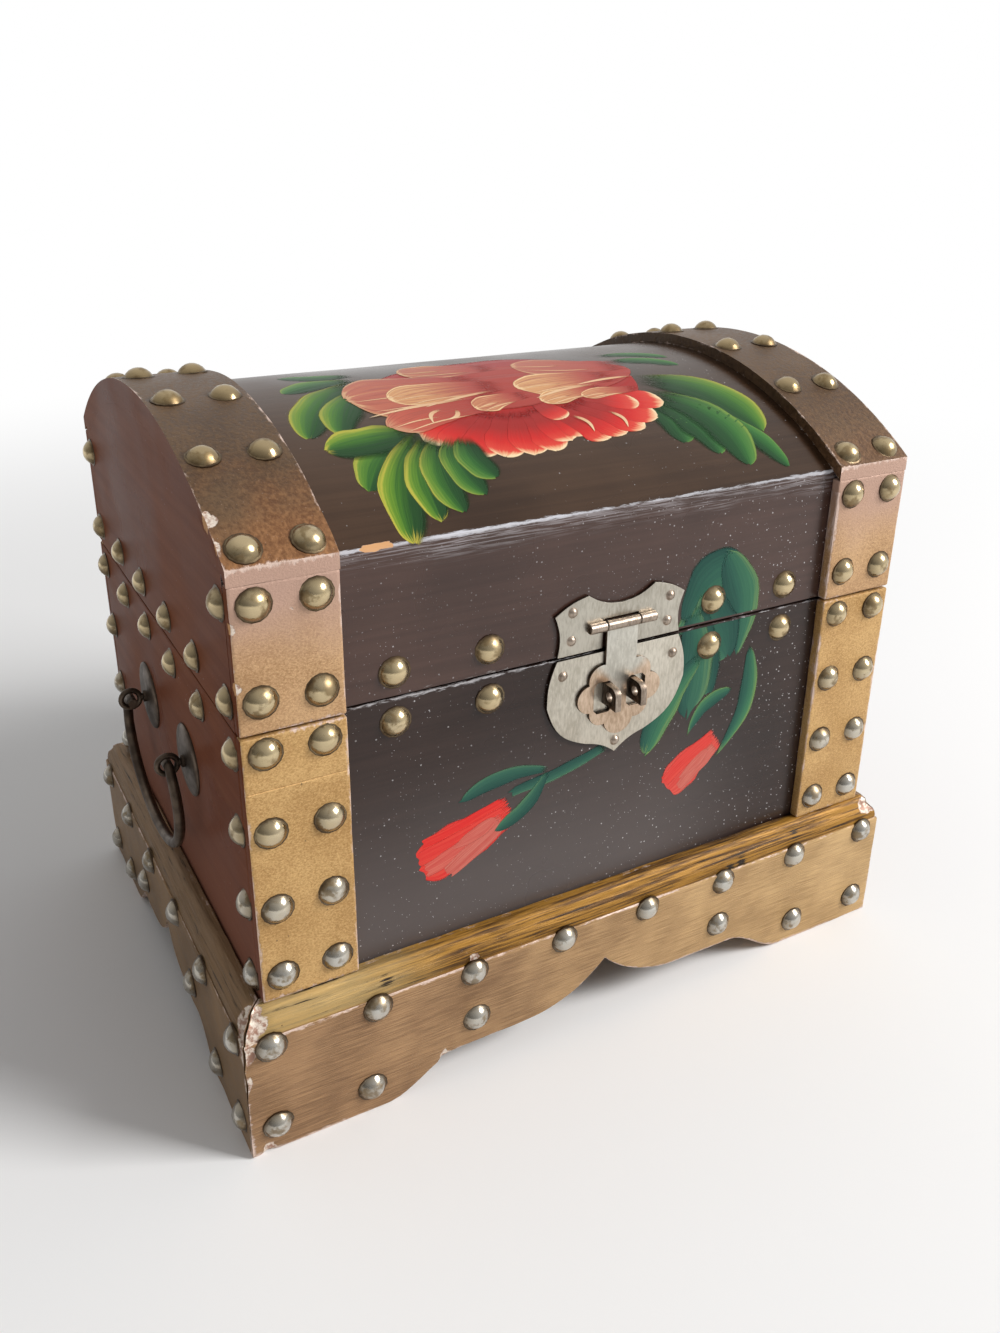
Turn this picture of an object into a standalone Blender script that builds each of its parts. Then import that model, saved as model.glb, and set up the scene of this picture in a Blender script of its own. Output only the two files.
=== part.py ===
"""Domed trinket chest: studded plinth, boarded base, hinged lid, shield hasp and two drop bails.

Lengths are in metres. The front faces -Y, the width runs along X, and the plinth stands on Z = 0.
"""

import math
from collections import namedtuple

import bmesh
import bpy
from mathutils import Matrix, Vector

# Clearances
FIT = 0.0003              # gap where two fixed pieces touch
PIN_CLEARANCE = 0.00015   # gap round a hinge pin
ROUND_SIDES = 12          # facets of rods, bores and eyes

# Boards of the base and the lid
BODY_WIDTH = 0.2200       # over the two ends
BODY_DEPTH = 0.1574       # over the front and rear boards
BOARD = 0.0090            # thickness of the walls
SEAM_HEIGHT = 0.1311      # middle of the gap between base and lid
SEAM_GAP = 0.0008
FLOOR_HEIGHT = 0.0280     # underside of the floor
FLOOR_BOARD = 0.0050
LID_EDGE_RISE = 0.0426    # from the seam to the top edge of the lid's front
DOME_RISE = 0.0247        # from that edge to the crown of the dome
TOP_BOARD = 0.0040        # bent board of the dome
ARC_STEPS = 16

# Bands nailed over the corners
BAND_WIDTH = 0.0282
BAND_BOARD = 0.0032

# Plinth with its ovolo top edge and scalloped apron
PLINTH_HEIGHT = 0.0490
PLINTH_BOARD = 0.0077
OVOLO_HEIGHT = 0.0082
OVOLO_REACH = 0.0055
OVOLO_STEP = 0.0006       # quirk under the ovolo
APRON_RISE = 0.0107       # height of the apron's flat stretches
CUSP_RISE = 0.0240        # height of the cusp in the middle
FRONT_FOOT = 0.0415
FRONT_OGEE = 0.0245
FRONT_FLAT = 0.0220
SIDE_FOOT = 0.0360
SIDE_OGEE = 0.0170
SIDE_FLAT = 0.0130
CURVE_STEPS = 6

# Domed nails
STUD_RADIUS = 0.0047
STUD_RISE = 0.0030
STUD_SINK = 0.0010        # how far a nail's head is sunk in its board
STUD_SIDES = 8
STUD_EDGE = 0.0052        # nail centre to the edge of its board
BAND_STUD_INSET = 0.0062  # nail centre to the edges of a band
BASE_BAND_ROWS = 4
BASE_BAND_FOOT = 0.0075   # lowest band row above the plinth
LID_STRIP_ROW = 0.0090    # lowest lid row above the seam
DOME_ROWS = 6
SEAM_ROW = 0.0070         # rows beside the seam, on the boards
FRONT_SEAM_STUDS = (0.0385, 0.0670)
END_SEAM_STUDS = 6
END_ROWS = 4
END_FOOT_ROW = 0.0050     # lowest row on an end above the plinth
LID_END_ROW = 0.0339      # upper row on a lid end above the seam
PLINTH_ROW_DROP = 0.0033  # plinth row below the ovolo
PLINTH_STUD_INSET = 0.0080
FRONT_PLINTH_STUDS = 8
SIDE_PLINTH_STUDS = 6
FOOT_ROW = 0.0092         # height of the nails on the feet

# Shield hasp on the front, with heights counted from the seam
HASP_OFFSET = 0.0040      # right of the middle
HASP_SHEET = 0.0008
HASP_SEAM_GAP = 0.0010
HASP_KNUCKLE = 0.0016     # outer radius of the barrel
HASP_PIN = 0.0008
HASP_AXIS_RISE = 0.0079
HASP_BARREL = 0.0230      # length of the three knuckles
STRAP_WIDTH = 0.0115      # also the middle knuckle
SHIELD_HORN = (0.0115, 0.0180)
SHIELD_DIP = 0.0040
SHIELD_TIP = (0.0225, 0.0134)
SHIELD_SEAM_HALF = 0.0214
SHIELD_WIDEST = (0.0244, -0.0150)
SHIELD_WAIST = (0.0105, -0.0300)
SHIELD_POINT = -0.0352
SHIELD_UPPER_BOWS = (0.0012, -0.0007, 0.0010)   # of its edges from the seam up to the dip
SHIELD_LOWER_BOWS = (0.0008, -0.0030, -0.0010)  # of its edges from the point up to the seam
FLANGE_TOP = -0.0043
FLANGE_BOTTOM = -0.0283
FLANGE_NOTCHES = ((0.0051, -0.0240), (0.0105, -0.0193), (0.0108, -0.0102))  # between its lobes, foot first
LOBE_RISES = (0.0012, 0.0018, 0.0041, 0.0021)  # of its round lobes over their chords
LOBE_STEPS = 8
WINDOW_NEAR = 0.0026      # inner edge of a window from the middle
WINDOW_WIDTH = 0.0064
WINDOW_HEIGHT = 0.0100
WINDOW_LEVEL = -0.0150
WINDOW_CORNER = 0.0012    # cut off each corner
LUG_PLAY = 0.0009         # beside a lug, to the inner edge of its window
LUG_HEADROOM = 0.0004     # over a lug, to the top of its window
LUG_SHEET = 0.0020
LUG_HEIGHT = 0.0069
LUG_REACH = 0.0083        # from the front board
LUG_ROUND = 0.0026        # of its upper outer corner
LUG_HOLE = 0.0015

# Butt hinges let into the rear seam
HINGE_PLACE = 0.0528      # from the middle
HINGE_LENGTH = 0.0180
HINGE_SHEET = 0.0010
HINGE_KNUCKLE = 0.0020
HINGE_PIN = 0.0009
HINGE_PROUD = 0.0004      # pin axis behind the rear bands
HINGE_LIP = 0.0020        # wood left in front of a hinge leaf

# Drop bails on the ends
BAIL_HEIGHT = 0.0955      # of the eyes
EYE_SPACING = 0.0472
EYE_OUT = 0.0064          # eye centre from the end board
EYE_RADIUS = 0.0030
EYE_WIRE = 0.0009
SHANK_RADIUS = 0.0011
SHANK_CLEARANCE = 0.0003
CLENCH_RADIUS = 0.0012
CLENCH_LENGTH = 0.0090
ROSETTE_RADIUS = 0.0112
ROSETTE_RISE = 0.0017
ROSETTE_RIM = 0.0004
ROSETTE_SIDES = 20
BAIL_WIRE = 0.0016
BAIL_DROP = 0.0341
BAIL_BULGE = 0.0062       # belly beyond the turned ends
BAIL_TURN = 0.0020        # eye centre to the start of the bend
BAIL_STUB = 0.0040        # turned end inside the eye
BAIL_POINTS = 25

# Places worked out from the sizes above
HALF_WIDTH = BODY_WIDTH / 2
HALF_DEPTH = BODY_DEPTH / 2
BASE_TOP = SEAM_HEIGHT - SEAM_GAP / 2
LID_BOTTOM = SEAM_HEIGHT + SEAM_GAP / 2
BAND_FACE = HALF_DEPTH + FIT + BAND_BOARD
DOME_RADIUS = (HALF_DEPTH ** 2 + DOME_RISE ** 2) / (2 * DOME_RISE)
DOME_CENTRE = SEAM_HEIGHT + LID_EDGE_RISE + DOME_RISE - DOME_RADIUS
HINGE_AXIS = BAND_FACE + HINGE_PROUD
HASP_AXIS_OUT = FIT + HASP_KNUCKLE
BAND_MIDDLE = HALF_WIDTH - FIT - BAND_WIDTH / 2

# Upright faces: the sign of the axis that each looks along, and its turn from the front
Face = namedtuple("Face", "name sign turn")
FRONT = Face("front", -1, 0.0)
REAR = Face("rear", 1, math.pi)
LEFT = Face("left", -1, -math.pi / 2)
RIGHT = Face("right", 1, math.pi / 2)
ENDS = (FRONT, REAR)
SIDES = (LEFT, RIGHT)

# Finishes: colour, roughness, metallic
DARK_LACQUER = ((0.030, 0.017, 0.014), 0.35, 0.0)
MAROON_LACQUER = ((0.060, 0.014, 0.012), 0.35, 0.0)
BRONZE_PAINT = ((0.170, 0.095, 0.045), 0.45, 0.3)
GOLD_PAINT = ((0.270, 0.160, 0.050), 0.45, 0.3)
BARE_WOOD = ((0.300, 0.180, 0.090), 0.70, 0.0)
NICKEL = ((0.380, 0.350, 0.310), 0.38, 1.0)
COPPERED_NICKEL = ((0.450, 0.330, 0.260), 0.38, 1.0)
DARK_BRONZE = ((0.070, 0.050, 0.035), 0.45, 1.0)
BRASS = ((0.450, 0.330, 0.140), 0.35, 1.0)


def new_collection(name):
    """A collection linked to the scene."""
    collection = bpy.data.collections.new(name)
    bpy.context.scene.collection.children.link(collection)
    return collection


for old in list(bpy.data.objects):
    bpy.data.objects.remove(old, do_unlink=True)
PARTS = new_collection("trinket_box")
CUTTERS = new_collection("trinket_box_cutters")


def on_face(face, distance):
    """Frame on an upright face: x along it, y up, z outwards."""
    outwards = Matrix.Rotation(math.pi / 2, 4, "X")
    return Matrix.Rotation(face.turn, 4, "Z") @ Matrix.Translation((0, -distance, 0)) @ outwards


def as_object(name, shape, placing):
    """Put a bmesh into a new part, merged and with its faces outwards."""
    bmesh.ops.remove_doubles(shape, verts=shape.verts, dist=1e-6)
    bmesh.ops.recalc_face_normals(shape, faces=shape.faces)
    mesh = bpy.data.meshes.new(name)
    shape.to_mesh(mesh)
    shape.free()
    part = bpy.data.objects.new(name, mesh)
    part.matrix_world = placing
    PARTS.objects.link(part)
    return part


def block(name, low, high, placing=Matrix()):
    """A rectangular board between two corners of a frame, with its origin at its middle."""
    low, high = Vector(low), Vector(high)
    shape = bmesh.new()
    bmesh.ops.create_cube(shape, size=1.0, matrix=Matrix.Diagonal((*(high - low), 1)))
    return as_object(name, shape, placing @ Matrix.Translation((low + high) / 2))


def rods(name, ends, radius, placing):
    """Round rods, each between two points."""
    shape = bmesh.new()
    for start, end in ends:
        along = Vector(end) - Vector(start)
        turn = along.to_track_quat("Z", "Y").to_matrix().to_4x4()
        middle = Matrix.Translation((Vector(start) + Vector(end)) / 2)
        bmesh.ops.create_cone(shape, cap_ends=True, segments=ROUND_SIDES, radius1=radius,
                              radius2=radius, depth=along.length, matrix=middle @ turn)
    return as_object(name, shape, placing)


def from_curve(name, curve, placing):
    """Turn a curve into a closed mesh part."""
    source = bpy.data.objects.new(name + "_curve", curve)
    source.matrix_world = placing
    PARTS.objects.link(source)
    graph = bpy.context.evaluated_depsgraph_get()
    mesh = bpy.data.meshes.new_from_object(source.evaluated_get(graph))
    shape = bmesh.new()
    shape.from_mesh(mesh)
    bpy.data.objects.remove(source)
    return as_object(name, shape, placing)


def poly_spline(curve, points, closed):
    """Add a spline of straight steps to a curve."""
    spline = curve.splines.new("POLY")
    spline.points.add(len(points) - 1)
    for point, place in zip(spline.points, points):
        point.co = (*Vector(place).to_3d(), 1)
    spline.use_cyclic_u = closed


def cut_sheet(name, loops, thickness, placing):
    """A flat outline with its holes, cut from a board or sheet, with its back at z = 0."""
    curve = bpy.data.curves.new(name, "CURVE")
    curve.dimensions = "2D"
    curve.fill_mode = "BOTH"
    curve.extrude = thickness / 2
    for loop in loops:
        poly_spline(curve, loop, True)
    return from_curve(name, curve, placing @ Matrix.Translation((0, 0, thickness / 2)))


def wire(name, points, radius, placing, closed=False):
    """A round wire along a path."""
    curve = bpy.data.curves.new(name, "CURVE")
    curve.dimensions = "3D"
    curve.bevel_depth = radius
    curve.bevel_resolution = 2
    curve.use_fill_caps = True
    poly_spline(curve, points, closed)
    part = from_curve(name, curve, placing)
    part.data.shade_smooth()
    return part


def combine(part, tool, operation):
    """Join a tool to a part, cut it out, or keep what they share."""
    PARTS.objects.unlink(tool)
    CUTTERS.objects.link(tool)
    tool.hide_render = True
    tool.display_type = "WIRE"
    change = part.modifiers.new(tool.name, "BOOLEAN")
    change.operation = operation
    change.solver = "EXACT"
    change.object = tool


def finish(part, look, body=None):
    """Give a part its own material, and hang it on the empty of its joint."""
    colour, roughness, metallic = look
    material = bpy.data.materials.new(part.name + "_finish")
    material.use_nodes = True
    shader = material.node_tree.nodes["Principled BSDF"]
    shader.inputs["Base Color"].default_value = (*colour, 1)
    shader.inputs["Roughness"].default_value = roughness
    shader.inputs["Metallic"].default_value = metallic
    part.data.materials.append(material)
    if body:
        part.parent = body
        part.matrix_parent_inverse = body.matrix_world.inverted()


def joint_empty(name, place, body=None):
    """An empty on a joint's axis, which carries the pieces that turn with it."""
    empty = bpy.data.objects.new(name, None)
    empty.matrix_world = Matrix.Translation(place)
    PARTS.objects.link(empty)
    if body:
        empty.parent = body
        empty.matrix_parent_inverse = body.matrix_world.inverted()
    bpy.context.view_layer.update()
    return empty


def spread(first, last, count):
    """Evenly spaced values from first to last."""
    return [first + (last - first) * step / (count - 1) for step in range(count)]


def arc(radius, start, end, steps=ARC_STEPS):
    """Points of the dome's section between two distances from the middle plane."""
    turns = spread(math.asin(start / radius), math.asin(end / radius), steps + 1)
    return [(radius * math.sin(turn), DOME_CENTRE + radius * math.cos(turn)) for turn in turns]


def bowed(start, end, bow, steps=CURVE_STEPS):
    """Points of a curve from start up to end, bowed out to the left of its chord; end is left out."""
    start, end = Vector(start), Vector(end)
    normal = Vector((start.y - end.y, end.x - start.x)).normalized()
    return [start.lerp(end, step / steps) + normal * bow * math.sin(math.pi * step / steps)
            for step in range(steps)]


def mirrored(half):
    """A closed outline from its right half, which runs between two points on the middle line."""
    return half + [(-x, y) for x, y in reversed(half) if abs(x) > FIT]


def circle(radius, centre=(0, 0)):
    """A round outline."""
    turns = [math.tau * side / ROUND_SIDES for side in range(ROUND_SIDES)]
    return [(centre[0] + radius * math.cos(turn), centre[1] + radius * math.sin(turn)) for turn in turns]


def turned(profile, sides):
    """A profile of radius and height, turned about z."""
    shape = bmesh.new()
    points = [shape.verts.new((radius, 0, height)) for radius, height in profile]
    edges = [shape.edges.new(pair) for pair in zip(points, points[1:])]
    bmesh.ops.spin(shape, geom=points + edges, cent=(0, 0, 0), axis=(0, 0, 1), angle=math.tau, steps=sides,
                   use_merge=True)
    bmesh.ops.remove_doubles(shape, verts=shape.verts, dist=1e-6)
    return shape


def stud_template():
    """A domed nail head with its rim sunk below z = 0."""
    shoulder = math.sqrt(0.5)
    shape = turned([(0, STUD_RISE), (STUD_RADIUS * shoulder, STUD_RISE * shoulder),
                    (STUD_RADIUS, -STUD_SINK), (0, -STUD_SINK)], STUD_SIDES)
    bmesh.ops.recalc_face_normals(shape, faces=shape.faces)
    mesh = bpy.data.meshes.new("stud_head")
    shape.to_mesh(mesh)
    shape.free()
    return mesh


STUD_MESH = stud_template()


def drive_studs(part, places):
    """Fuse domed nail heads to the board that carries them, one at each frame in places."""
    shape = bmesh.new()
    for place in places:
        before = len(shape.verts)
        shape.from_mesh(STUD_MESH)
        shape.verts.ensure_lookup_table()
        bmesh.ops.transform(shape, matrix=place, verts=shape.verts[before:])
    combine(part, as_object(part.name + "_studs", shape, Matrix()), "UNION")


def at(frame, points):
    """Frames at points of a face."""
    return [frame @ Matrix.Translation((x, y, 0)) for x, y in points]


LID = joint_empty("lid_hinge_axis", (0, HINGE_AXIS, SEAM_HEIGHT))
HASP_PLACE = (HASP_OFFSET, -HALF_DEPTH - HASP_AXIS_OUT, SEAM_HEIGHT + HASP_AXIS_RISE)
HASP = joint_empty("hasp_hinge_axis", HASP_PLACE, LID)


def plinth_board(face, wall, half_wall, foot, ogee, flat, count):
    """A mitred plinth board: scalloped below, moulded with an ovolo above, with two rows of nails."""
    name = "plinth_" + face.name
    spare = PLINTH_BOARD / 2
    outer = half_wall + FIT + PLINTH_BOARD
    frame = on_face(face, wall + FIT)
    lobe = outer - foot - ogee - flat
    lobe_radius = (lobe ** 2 + (CUSP_RISE - APRON_RISE) ** 2) / (2 * (CUSP_RISE - APRON_RISE))
    sweep = math.atan2(lobe, lobe_radius - CUSP_RISE + APRON_RISE)
    half = [(lobe - lobe_radius * math.sin(turn), APRON_RISE + lobe_radius * (1 - math.cos(turn)))
            for turn in spread(sweep, 0, CURVE_STEPS + 1)]
    half[0] = (0, CUSP_RISE)
    for step in range(CURVE_STEPS + 1):
        share = step / CURVE_STEPS
        half.append((lobe + flat + ogee * share, APRON_RISE * (1 + math.cos(math.pi * share)) / 2))
    half += [(outer, 0), (outer, PLINTH_HEIGHT + spare), (0, PLINTH_HEIGHT + spare)]
    board = cut_sheet(name, [mirrored(half)], PLINTH_BOARD + spare, frame)
    shape = bmesh.new()
    shape.from_mesh(board.data)
    inner_back = -(PLINTH_BOARD + spare) / 2
    for side in (-1, 1):
        mitre = bmesh.ops.bisect_plane(shape, geom=shape.verts[:] + shape.edges[:] + shape.faces[:],
                                       plane_co=(side * (half_wall + FIT / 2), 0, inner_back),
                                       plane_no=(side, 0, -1), clear_outer=True)
        rim = [edge for edge in mitre["geom_cut"] if isinstance(edge, bmesh.types.BMEdge)]
        bmesh.ops.contextual_create(shape, geom=rim)
    bmesh.ops.recalc_face_normals(shape, faces=shape.faces)
    shape.to_mesh(board.data)
    shape.free()
    step_level = PLINTH_HEIGHT - OVOLO_HEIGHT
    ovolo_foot = PLINTH_BOARD - OVOLO_STEP
    section = [(-spare, -spare), (PLINTH_BOARD, -spare), (PLINTH_BOARD, step_level)]
    for turn in spread(0, math.pi / 2, CURVE_STEPS + 1):
        section.append((ovolo_foot - OVOLO_REACH * (1 - math.cos(turn)),
                        step_level + OVOLO_HEIGHT * math.sin(turn)))
    section.append((-spare, PLINTH_HEIGHT))
    across = frame @ Matrix.Translation((outer + spare, 0, 0)) @ Matrix.Rotation(-math.pi / 2, 4, "Y")
    combine(board, cut_sheet(name + "_moulding", [section], 2 * (outer + spare), across), "INTERSECT")
    row = outer - PLINTH_STUD_INSET
    places = [(x, step_level - PLINTH_ROW_DROP) for x in spread(-row, row, count)]
    for side in (-1, 1):
        places.append((side * row, FOOT_ROW))
        places.append((side * (outer - foot + STUD_RADIUS), FOOT_ROW))
        places.append((side * (lobe + flat * 3 / 4), APRON_RISE + 2 * STUD_RADIUS))
    drive_studs(board, at(on_face(face, wall + FIT + PLINTH_BOARD), places))
    finish(board, BRONZE_PAINT)


for end in ENDS:
    plinth_board(end, HALF_DEPTH, HALF_WIDTH, FRONT_FOOT, FRONT_OGEE, FRONT_FLAT, FRONT_PLINTH_STUDS)
for side in SIDES:
    plinth_board(side, HALF_WIDTH, HALF_DEPTH, SIDE_FOOT, SIDE_OGEE, SIDE_FLAT, SIDE_PLINTH_STUDS)


def end_board_studs(levels, row):
    """Nail places on an end: a row along the seam, and a column down each edge."""
    edge = HALF_DEPTH - STUD_EDGE
    return [(y, row) for y in spread(-edge, edge, END_SEAM_STUDS)] + [
        (side.sign * edge, level) for side in SIDES for level in levels]


def hinge_rebates(board, low, high):
    """Cut the beds of the hinge leaves into a rear board, between two levels."""
    for side in SIDES:
        middle = side.sign * HINGE_PLACE
        near = (middle - HINGE_LENGTH / 2 - FIT, HALF_DEPTH - BOARD + HINGE_LIP, low)
        far = (middle + HINGE_LENGTH / 2 + FIT, HINGE_AXIS, high)
        combine(board, block(f"{board.name}_{side.name}_rebate", near, far), "DIFFERENCE")


# Base boards and floor
INNER_WIDTH = HALF_WIDTH - BOARD - FIT
INNER_DEPTH = HALF_DEPTH - BOARD - FIT
for side in SIDES:
    board_face = on_face(side, HALF_WIDTH)
    board = block(f"base_{side.name}_end", (-HALF_DEPTH, FLOOR_HEIGHT, -BOARD), (HALF_DEPTH, BASE_TOP, 0),
                  board_face)
    eye_places = [end.sign * EYE_SPACING / 2 for end in ENDS]
    holes = [((place, BAIL_HEIGHT, -2 * BOARD), (place, BAIL_HEIGHT, BOARD)) for place in eye_places]
    bores = rods(board.name + "_bores", holes, SHANK_RADIUS + SHANK_CLEARANCE, board_face)
    combine(board, bores, "DIFFERENCE")
    rows = spread(SEAM_HEIGHT - SEAM_ROW, PLINTH_HEIGHT + END_FOOT_ROW, END_ROWS)
    drive_studs(board, at(board_face, end_board_studs(rows[1:], rows[0])))
    finish(board, MAROON_LACQUER)
for end in ENDS:
    board_face = on_face(end, HALF_DEPTH)
    board = block(f"base_{end.name}_board", (-INNER_WIDTH, FLOOR_HEIGHT, -BOARD), (INNER_WIDTH, BASE_TOP, 0),
                  board_face)
    if end is REAR:
        hinge_rebates(board, BASE_TOP - HINGE_SHEET - FIT, SEAM_HEIGHT)
    drive_studs(board, at(board_face, [
        (side.sign * x, SEAM_HEIGHT - SEAM_ROW) for side in SIDES for x in FRONT_SEAM_STUDS]))
    finish(board, DARK_LACQUER)
floor = block("base_floor", (-INNER_WIDTH, -INNER_DEPTH, FLOOR_HEIGHT),
              (INNER_WIDTH, INNER_DEPTH, FLOOR_HEIGHT + FLOOR_BOARD))
finish(floor, BARE_WOOD)

# Upright bands on the base
BAND_COLUMNS = (BAND_STUD_INSET - BAND_WIDTH / 2, BAND_WIDTH / 2 - BAND_STUD_INSET)
for end in ENDS:
    for side in SIDES:
        middle = -end.sign * side.sign * BAND_MIDDLE
        band = block(f"base_{end.name}_{side.name}_band", (middle - BAND_WIDTH / 2, PLINTH_HEIGHT + FIT, FIT),
                     (middle + BAND_WIDTH / 2, BASE_TOP, FIT + BAND_BOARD), on_face(end, HALF_DEPTH))
        levels = spread(BASE_TOP - STUD_EDGE, PLINTH_HEIGHT + BASE_BAND_FOOT, BASE_BAND_ROWS)
        drive_studs(band, at(on_face(end, BAND_FACE), [
            (middle + column, level) for column in BAND_COLUMNS for level in levels]))
        finish(band, GOLD_PAINT)

# Lid ends, front and rear boards under the bent top board
ACROSS = on_face(RIGHT, 0)
UNDER_TOP = DOME_RADIUS - TOP_BOARD - FIT
for side in SIDES:
    back = ACROSS @ Matrix.Translation((0, 0, side.sign * (HALF_WIDTH - BOARD / 2) - BOARD / 2))
    arch = [(HALF_DEPTH, LID_BOTTOM), (-HALF_DEPTH, LID_BOTTOM)] + arc(UNDER_TOP, -HALF_DEPTH, HALF_DEPTH)
    board = cut_sheet(f"lid_{side.name}_end", [arch], BOARD, back)
    drive_studs(board, at(on_face(side, HALF_WIDTH), end_board_studs(
        [SEAM_HEIGHT + LID_END_ROW], SEAM_HEIGHT + SEAM_ROW)))
    finish(board, MAROON_LACQUER, LID)
for end in ENDS:
    outside, inside = end.sign * HALF_DEPTH, end.sign * (HALF_DEPTH - BOARD)
    section = [(outside, LID_BOTTOM), (inside, LID_BOTTOM)] + arc(UNDER_TOP, inside, outside, steps=2)
    board = cut_sheet(f"lid_{end.name}_board", [section], 2 * INNER_WIDTH,
                      ACROSS @ Matrix.Translation((0, 0, -INNER_WIDTH)))
    if end is REAR:
        hinge_rebates(board, SEAM_HEIGHT, LID_BOTTOM + HINGE_SHEET + FIT)
    drive_studs(board, at(on_face(end, HALF_DEPTH), [
        (side.sign * x, SEAM_HEIGHT + SEAM_ROW) for side in SIDES for x in FRONT_SEAM_STUDS]))
    finish(board, DARK_LACQUER, LID)
top_section = arc(DOME_RADIUS, -HALF_DEPTH, HALF_DEPTH)
top_section += reversed(arc(DOME_RADIUS - TOP_BOARD, -HALF_DEPTH, HALF_DEPTH))
top = cut_sheet("lid_top_board", [top_section], BODY_WIDTH, ACROSS @ Matrix.Translation((0, 0, -HALF_WIDTH)))
finish(top, DARK_LACQUER, LID)

# Bent bands over the dome, and the strips that carry them down the lid's front and rear
BAND_RADIUS = DOME_RADIUS + FIT + BAND_BOARD
BAND_BACK = DOME_RADIUS + FIT
STRIP_TOP = arc(BAND_BACK, BAND_FACE, BAND_FACE, steps=1)[0][1] - FIT
STRIP_BACK_TOP = arc(BAND_BACK, HALF_DEPTH + FIT, HALF_DEPTH + FIT, steps=1)[0][1] - FIT
band_section = arc(BAND_RADIUS, -BAND_FACE, BAND_FACE)
band_section += reversed(arc(BAND_BACK, -BAND_FACE, BAND_FACE))
LAST_ROW = math.asin(BAND_FACE / BAND_RADIUS) - STUD_EDGE / BAND_RADIUS
for side in SIDES:
    back = ACROSS @ Matrix.Translation((0, 0, side.sign * BAND_MIDDLE - BAND_WIDTH / 2))
    band = cut_sheet(f"lid_{side.name}_band", [band_section], BAND_WIDTH, back)
    rows = []
    for tilt in spread(-LAST_ROW, LAST_ROW, DOME_ROWS):
        for column in BAND_COLUMNS:
            axis = Matrix.Translation((side.sign * BAND_MIDDLE + column, 0, DOME_CENTRE))
            rows.append(axis @ Matrix.Rotation(tilt, 4, "X") @ Matrix.Translation((0, 0, BAND_RADIUS)))
    drive_studs(band, rows)
    finish(band, BRONZE_PAINT, LID)
    for end in ENDS:
        outside, inside = end.sign * BAND_FACE, end.sign * (HALF_DEPTH + FIT)
        section = [(outside, LID_BOTTOM), (outside, STRIP_TOP), (inside, STRIP_BACK_TOP),
                   (inside, LID_BOTTOM)]
        strip = cut_sheet(f"lid_{end.name}_{side.name}_strip", [section], BAND_WIDTH, back)
        middle = -end.sign * side.sign * BAND_MIDDLE
        levels = (SEAM_HEIGHT + LID_STRIP_ROW, STRIP_TOP - STUD_EDGE)
        drive_studs(strip, at(on_face(end, BAND_FACE), [
            (middle + column, level) for column in BAND_COLUMNS for level in levels]))
        finish(strip, GOLD_PAINT, LID)


def barrel(name, frame, length, middle, radius, bore, axis):
    """Knuckles of a three-part barrel along x: the outer pair, the middle one, and a bore for each."""
    y, z = axis
    inner = middle / 2 + FIT / 2
    outer_ends = [((side.sign * inner, y, z), (side.sign * length / 2, y, z)) for side in SIDES]
    middle_ends = [((FIT - inner, y, z), (inner - FIT, y, z))]
    through = [((-length, y, z), (length, y, z))]
    return (rods(name + "_outer_knuckles", outer_ends, radius, frame),
            rods(name + "_middle_knuckle", middle_ends, radius, frame),
            [rods(f"{name}_bore_{number}", through, bore, frame) for number in (1, 2)])


def bowed_run(points, bows):
    """A run of bowed curves through points, the last point left out."""
    run = []
    for start, end, bow in zip(points, points[1:], bows):
        run += [tuple(place) for place in bowed(start, end, bow)]
    return run


# Shield hasp: a plate on the lid, a hinged leaf with two windows, and a plate with two lugs on the base
hasp_frame = on_face(FRONT, HALF_DEPTH) @ Matrix.Translation((HASP_OFFSET, SEAM_HEIGHT, 0))
sheet_frame = hasp_frame @ Matrix.Translation((0, 0, FIT))
knuckles, leaf_knuckle, bores = barrel("hasp", hasp_frame, HASP_BARREL, STRAP_WIDTH, HASP_KNUCKLE,
                                       HASP_PIN + PIN_CLEARANCE, (HASP_AXIS_RISE, HASP_AXIS_OUT))
notch = STRAP_WIDTH / 2 + FIT
notch_top = HASP_AXIS_RISE + HASP_KNUCKLE + FIT
shield_dip = (0, SHIELD_HORN[1] - SHIELD_DIP)
upper_half = [(0, notch_top), (notch, notch_top), (notch, HASP_SEAM_GAP / 2)]
upper_half += bowed_run([(SHIELD_SEAM_HALF, HASP_SEAM_GAP / 2), SHIELD_TIP, SHIELD_HORN, shield_dip],
                        SHIELD_UPPER_BOWS)
upper_half.append(shield_dip)
upper_plate = cut_sheet("hasp_upper_plate", [mirrored(upper_half)], HASP_SHEET, sheet_frame)
combine(upper_plate, knuckles, "UNION")
combine(upper_plate, bores[0], "DIFFERENCE")
finish(upper_plate, NICKEL, LID)

seam_corner = (SHIELD_SEAM_HALF, -HASP_SEAM_GAP / 2)
lower_half = bowed_run([(0, SHIELD_POINT), SHIELD_WAIST, SHIELD_WIDEST, seam_corner], SHIELD_LOWER_BOWS)
lower_half += [seam_corner, (0, -HASP_SEAM_GAP / 2)]
lower_plate = cut_sheet("hasp_lower_plate", [mirrored(lower_half)], HASP_SHEET, sheet_frame)
lug_foot = FIT + HASP_SHEET / 2
lug_half = LUG_HEIGHT / 2
lug_corner = [(LUG_REACH - LUG_ROUND * (1 - math.cos(turn)), lug_half - LUG_ROUND * (1 - math.sin(turn)))
              for turn in spread(0, math.pi / 2, CURVE_STEPS)]
lug_outline = [(lug_foot, -lug_half), (LUG_REACH, -lug_half), *lug_corner, (lug_foot, lug_half)]
lug_eye = circle(LUG_HOLE, (LUG_REACH - lug_half, 0))
lug_middle = WINDOW_NEAR + LUG_PLAY + LUG_SHEET / 2
lug_level = WINDOW_LEVEL + WINDOW_HEIGHT / 2 - LUG_HEADROOM - lug_half
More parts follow.
